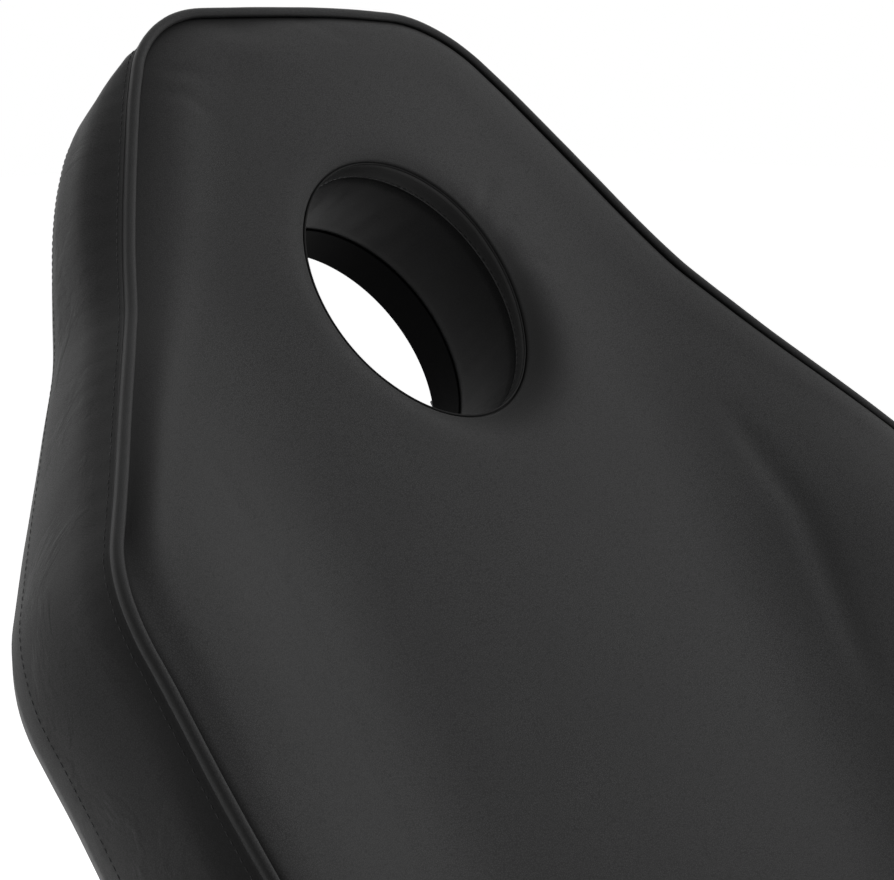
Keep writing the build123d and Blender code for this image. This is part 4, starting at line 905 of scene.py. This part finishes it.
def stitch_row(name, places, length, thickness):
    """A row of sewn stitches on the backrest, each a small rounded run of thread."""
    single = bmesh.new()
    bmesh.ops.create_uvsphere(single, u_segments=8, v_segments=5, radius=1)
    stitch = bpy.data.meshes.new("one stitch")
    single.to_mesh(stitch)
    single.free()
    form = bmesh.new()
    for middle, along, out in places:
        side = along.cross(out).normalized()
        turn = Matrix((along.normalized(), side, out.normalized())).transposed().to_4x4()
        size = Matrix.Diagonal((length / 2, thickness, thickness * 0.8, 1))
        spot = Matrix.Translation(middle) @ turn @ Matrix.Scale(millimetre, 4) @ size
        first = len(form.verts)
        form.from_mesh(stitch)
        form.verts.ensure_lookup_table()
        for vertex in form.verts[first:]:
            vertex.co = spot @ vertex.co
    bpy.data.meshes.remove(stitch)
    finish_piece(form, name, seam_thread, "backrest")


def hole_stitches(depth, inset, count):
    """Places of stitches round the hole's wall."""
    turn = backrest_matrix.to_3x3()
    half_width, half_length = hole_half_width + inset, hole_half_length + inset
    for k in range(count):
        angle = 2 * pi * k / count
        side = Vector((cos(angle), sin(angle), 0))
        centre = Vector((half_width * side.x, hole_y + half_length * side.y, -depth))
        along = Vector((-hole_half_width * side.y, hole_half_length * side.x, 0))
        yield backrest_matrix @ centre, (turn @ along).normalized(), -(turn @ side).normalized()


hole_places = hole_stitches(depth=11.3, inset=-0.45, count=118)
stitch_row("face_hole_stitches", hole_places, length=3.0, thickness=0.32)


def wall_stitches(row):
    """Places of stitches round the backrest's wall, along one row of its cover."""
    for i in range(around):
        middle = upholstery_point(i, row)
        along = upholstery_point((i + 1) % around, row) - upholstery_point(i - 1, row)
        down = upholstery_point(i, row + 1) - upholstery_point(i, row - 1)
        yield middle, along, down.cross(along)


wall_start = len(hole_wall) + face_count
for name, row in (("boxing_top_stitches", 5), ("boxing_back_stitches", 14)):
    stitch_row(name, wall_stitches(wall_start + row), length=3.2, thickness=0.3)

# Seat, leg rest and armrest pads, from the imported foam


def held_back(values, most):
    """A move no longer than the most that is allowed."""
    length = values.length
    return values * (most / length) if length > most else values


def swell(piece, held, most):
    """Blows the cover up a little with its seams held, as foam fills it, and keeps the result."""
    group = piece.vertex_groups.new(name="seams")
    for index, weight in held:
        group.add([index], weight, "REPLACE")
    cover = piece.modifiers.new("cover", "CLOTH")
    cover.settings.quality = 5
    cover.settings.mass = 0.3
    cover.settings.tension_stiffness = 20
    cover.settings.compression_stiffness = 20
    cover.settings.bending_stiffness = 0.6
    cover.settings.use_pressure = True
    cover.settings.uniform_pressure_force = 4.0
    cover.settings.vertex_group_mass = group.name
    cover.settings.effector_weights.gravity = 0
    frames = 20
    cover.point_cache.frame_start = 1
    cover.point_cache.frame_end = frames
    before = [vertex.co.copy() for vertex in piece.data.vertices]
    for number in range(1, frames + 1):
        scene.frame_set(number)
    swollen = piece.evaluated_get(bpy.context.evaluated_depsgraph_get()).data
    after = [vertex.co.copy() for vertex in swollen.vertices]
    piece.modifiers.remove(cover)
    piece.vertex_groups.clear()
    scene.frame_set(1)
    for vertex, start, end in zip(piece.data.vertices, before, after):
        vertex.co = start + held_back(end - start, most)


def even_skin(foam, name, voxel):
    """The foam's surface as an even, slightly smoothed mesh."""
    form = bmesh.new()
    form.from_mesh(nodes[foam].data)
    bmesh.ops.remove_doubles(form, verts=form.verts, dist=1e-5)
    piece = place_form(form, name)
    skin = piece.modifiers.new("even skin", "REMESH")
    skin.mode = "VOXEL"
    skin.voxel_size = voxel
    depsgraph = bpy.context.evaluated_depsgraph_get()
    even = bpy.data.meshes.new_from_object(piece.evaluated_get(depsgraph))
    piece.modifiers.clear()
    form = bmesh.new()
    form.from_mesh(even)
    axes = dict(use_axis_x=True, use_axis_y=True, use_axis_z=True)
    for _ in range(3):
        bmesh.ops.smooth_vert(form, verts=form.verts, factor=0.5, **axes)
    for face in form.faces:
        face.smooth = True
    form.to_mesh(even)
    form.free()
    piece.data = even
    even.name = name
    return piece


def pad_from_foam(start, end, matrix, thickness, line, voxel, most):
    """A cushion grown from its packed foam, with its seams pulled in under the welt.

    The names of its foam, cover and body start and end alike.
    """
    foam, cover = start + "_foam" + end, start + "_cover" + end
    piece = even_skin(foam, start + "_upholstery" + end, voxel)
    even = piece.data
    low = -thickness + 10
    cord_rise = Vector((0, 0, 1.6))
    back = matrix.inverted()
    seams = KDTree(max(len(line), 1))
    for number, point in enumerate(line):
        seams.insert(point, number)
    seams.balance()
    held = []
    for vertex in even.vertices:
        local = back @ vertex.co
        near = seams.find(local)[2] if line else 1e9
        at_back = 1 - ease(low, low + 14, local.z)
        weight = max(1 - ease(5, 14, near), at_back)
        if weight > 0:
            held.append((vertex.index, weight))
    swell(piece, held, most)
    for vertex in even.vertices:
        local = back @ vertex.co
        if line:
            # The seam draws the cover in to the welt's cord
            point, _, near = seams.find(local)
            drawn = 0.85 * (1 - ease(3.5, 15, near)) * max(near - 1.5, 0)
            local += (point - cord_rise - local).normalized() * drawn
        waves = 0.5 * ripple(local, 80, 1.7) + 0.25 * ripple(local, 30, 4.4)
        local.z += waves * ease(low, low + 20, local.z)
        vertex.co = matrix @ local
    finer = piece.modifiers.new("finer", "SUBSURF")
    finer.levels = finer.render_levels = 1
    even.materials.clear()
    even.materials.append(panel_leather)
    slackness = even.attributes.new("slack", "FLOAT", "POINT")
    for vertex in even.vertices:
        local = back @ vertex.co
        near = seams.find(local) if line else None
        slackness.data[vertex.index].value = ease(2, 24, near[0].z - local.z) if near else 0.35
    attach(piece, start + end)
    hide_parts(foam, cover)


def edge_line(pad, cover, count):
    """The welt's line along a pad's edge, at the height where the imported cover's top ends."""
    matrix = pad_matrix(pad)
    tree = BVHTree.FromObject(nodes[cover], bpy.context.evaluated_depsgraph_get())
    down = -(matrix.to_3x3() @ Vector((0, 0, 1))).normalized()
    back = matrix.inverted()
    edge = rounded_outline(pad, count)
    inside, above, cord_out, cord_up = 2.0, 120, 0.8, 0.6
    line = []
    for x, y, out_x, out_y in edge:
        start = matrix @ Vector((x - inside * out_x, y - inside * out_y, above))
        level = (back @ tree.ray_cast(start, down)[0]).z
        line.append(Vector((x + cord_out * out_x, y + cord_out * out_y, level + cord_up)))
    smooth = []
    for number, point in enumerate(line):
        levels = [line[(number + step) % count].z for step in range(-4, 5)]
        smooth.append(Vector((point.x, point.y, sum(levels) / len(levels))))
    return smooth, [(out_x, out_y) for _, _, out_x, out_y in edge]


cushions = (
    dict(name="seat", pad=seat, count=420, voxel=0.0065, most=0.009),
    dict(name="legrest", pad=legrest, count=360, voxel=0.006, most=0.008),
)
for cushion in cushions:
    name, pad = cushion["name"], cushion["pad"]
    cushion["matrix"] = pad_matrix(pad)
    cushion["line"], cushion["outward"] = edge_line(pad, name + "_cover", cushion["count"])
for cushion in cushions:
    name = cushion["name"]
    line, outward = cushion["line"], cushion["outward"]
    lay_welt(name + "_welt", cushion["matrix"], line, outward, name, name + "_piping")
for cushion in cushions:
    pad_from_foam(
        cushion["name"],
        "",
        cushion["matrix"],
        cushion["pad"]["thickness"],
        cushion["line"],
        cushion["voxel"],
        cushion["most"],
    )
for end in ("_left", "_right"):
    low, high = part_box("armrest_cover" + end)
    middle = (low + high) / 2
    top = Matrix.Translation((middle.x, middle.y, high.z)) @ Matrix.Scale(millimetre, 4)
    thickness = (high.z - low.z) / millimetre
    pad_from_foam("armrest", end, top, thickness, line=[], voxel=0.0045, most=0.004)

# Staples that hold the back cloth

form = bmesh.new()
staple_count = 44
staple_inset = 44
staple_height = -91.3
staple_size = Matrix.Diagonal((10, 0.9, 0.6, 1))
for number in range(staple_count):
    x, y, out_x, out_y = backrest_edge[int((number + 0.5) * around / staple_count)]
    along = Vector((-out_y, out_x, 0))
    middle = Vector((x - staple_inset * out_x, y - staple_inset * out_y, staple_height))
    turn = Matrix((along, Vector((out_x, out_y, 0)), Vector((0, 0, 1)))).transposed().to_4x4()
    spot = backrest_matrix @ Matrix.Translation(middle) @ turn @ staple_size
    bmesh.ops.create_cube(form, size=1, matrix=spot)
bmesh.ops.bevel(
    form,
    geom=form.edges[:],
    offset=0.00015,
    offset_type="OFFSET",
    segments=1,
    profile=0.5,
    affect="EDGES",
    material=-1,
)
finish_piece(form, "back_cloth_staples", staple_steel, "backrest")

# Camera, lights and stage

camera = bpy.data.objects.new("photo camera", bpy.data.cameras.new("photo camera"))
scene.collection.objects.link(camera)
camera.location = (-1.0678, -0.5192, 1.1424)
forward = Vector((0.685, 0.716, -0.135)).normalized()
camera.rotation_mode = "QUATERNION"
camera.rotation_quaternion = forward.to_track_quat("-Z", "Y")
camera.data.sensor_width = 36
camera.data.lens = 117.9
camera.data.clip_start, camera.data.clip_end = 0.05, 60
scene.camera = camera

backrest_middle = backrest_matrix @ Vector((0, 460, 0))


def hang_lamp(name, direction, distance, size, power):
    """A large soft lamp that faces the backrest."""
    lamp = bpy.data.lights.new(name, "AREA")
    lamp.shape = "SQUARE"
    lamp.size = size
    lamp.energy = power
    holder = bpy.data.objects.new(name, lamp)
    scene.collection.objects.link(holder)
    way = Vector(direction).normalized()
    holder.location = backrest_middle + way * distance
    holder.rotation_mode = "QUATERNION"
    holder.rotation_quaternion = (-way).to_track_quat("-Z", "Y")
    holder.visible_glossy = False


hang_lamp("key softbox", (0.62, -0.58, 0.52), distance=2.4, size=1.1, power=108)
hang_lamp("edge softbox", (-0.8, 0.6, 0.3), distance=2.4, size=1.0, power=22)
hang_lamp("top softbox", (0.1, 0.2, 1.0), distance=2.2, size=1.4, power=6)

world = bpy.data.worlds.new("white studio")
scene.world = world
world.use_nodes = True
tree = world.node_tree
tree.nodes.clear()


def part_rays(tree, plain, shown, output):
    """Gives rays that show a background one shader, and all the others the plain one."""
    path = tree.nodes.new("ShaderNodeLightPath").outputs
    seen = maths(tree, "MAXIMUM", path["Is Camera Ray"], path["Is Glossy Ray"])
    seen = maths(tree, "MAXIMUM", seen, path["Is Transmission Ray"])
    choice = add_node(tree, "ShaderNodeMixShader", {0: seen, 1: plain, 2: shown})
    surface = tree.nodes.new(output)
    tree.links.new(choice.outputs[0], surface.inputs["Surface"])


white = (1, 1, 1, 1)
plain_light = add_node(tree, "ShaderNodeBackground", {"Color": white, "Strength": 0.12})
white_light = add_node(tree, "ShaderNodeBackground", {"Color": white, "Strength": 1.0})
part_rays(tree, plain_light.outputs[0], white_light.outputs[0], "ShaderNodeOutputWorld")

floor_finish = bpy.data.materials.new("pale studio floor")
floor_finish.use_nodes = True
tree = floor_finish.node_tree
tree.nodes.clear()
matt = add_node(tree, "ShaderNodeBsdfDiffuse", {"Color": (0.82, 0.82, 0.82, 1)}).outputs[0]
glow = add_node(tree, "ShaderNodeEmission", {"Color": white, "Strength": 0.92}).outputs[0]
both = add_node(tree, "ShaderNodeAddShader", {0: matt, 1: glow})
part_rays(tree, matt, both.outputs[0], "ShaderNodeOutputMaterial")

form = bmesh.new()
bmesh.ops.create_grid(form, x_segments=1, y_segments=1, size=20)
studio_floor = place_form(form, "studio_floor")
studio_floor.data.materials.append(floor_finish)

scene.view_settings.view_transform = "Standard"
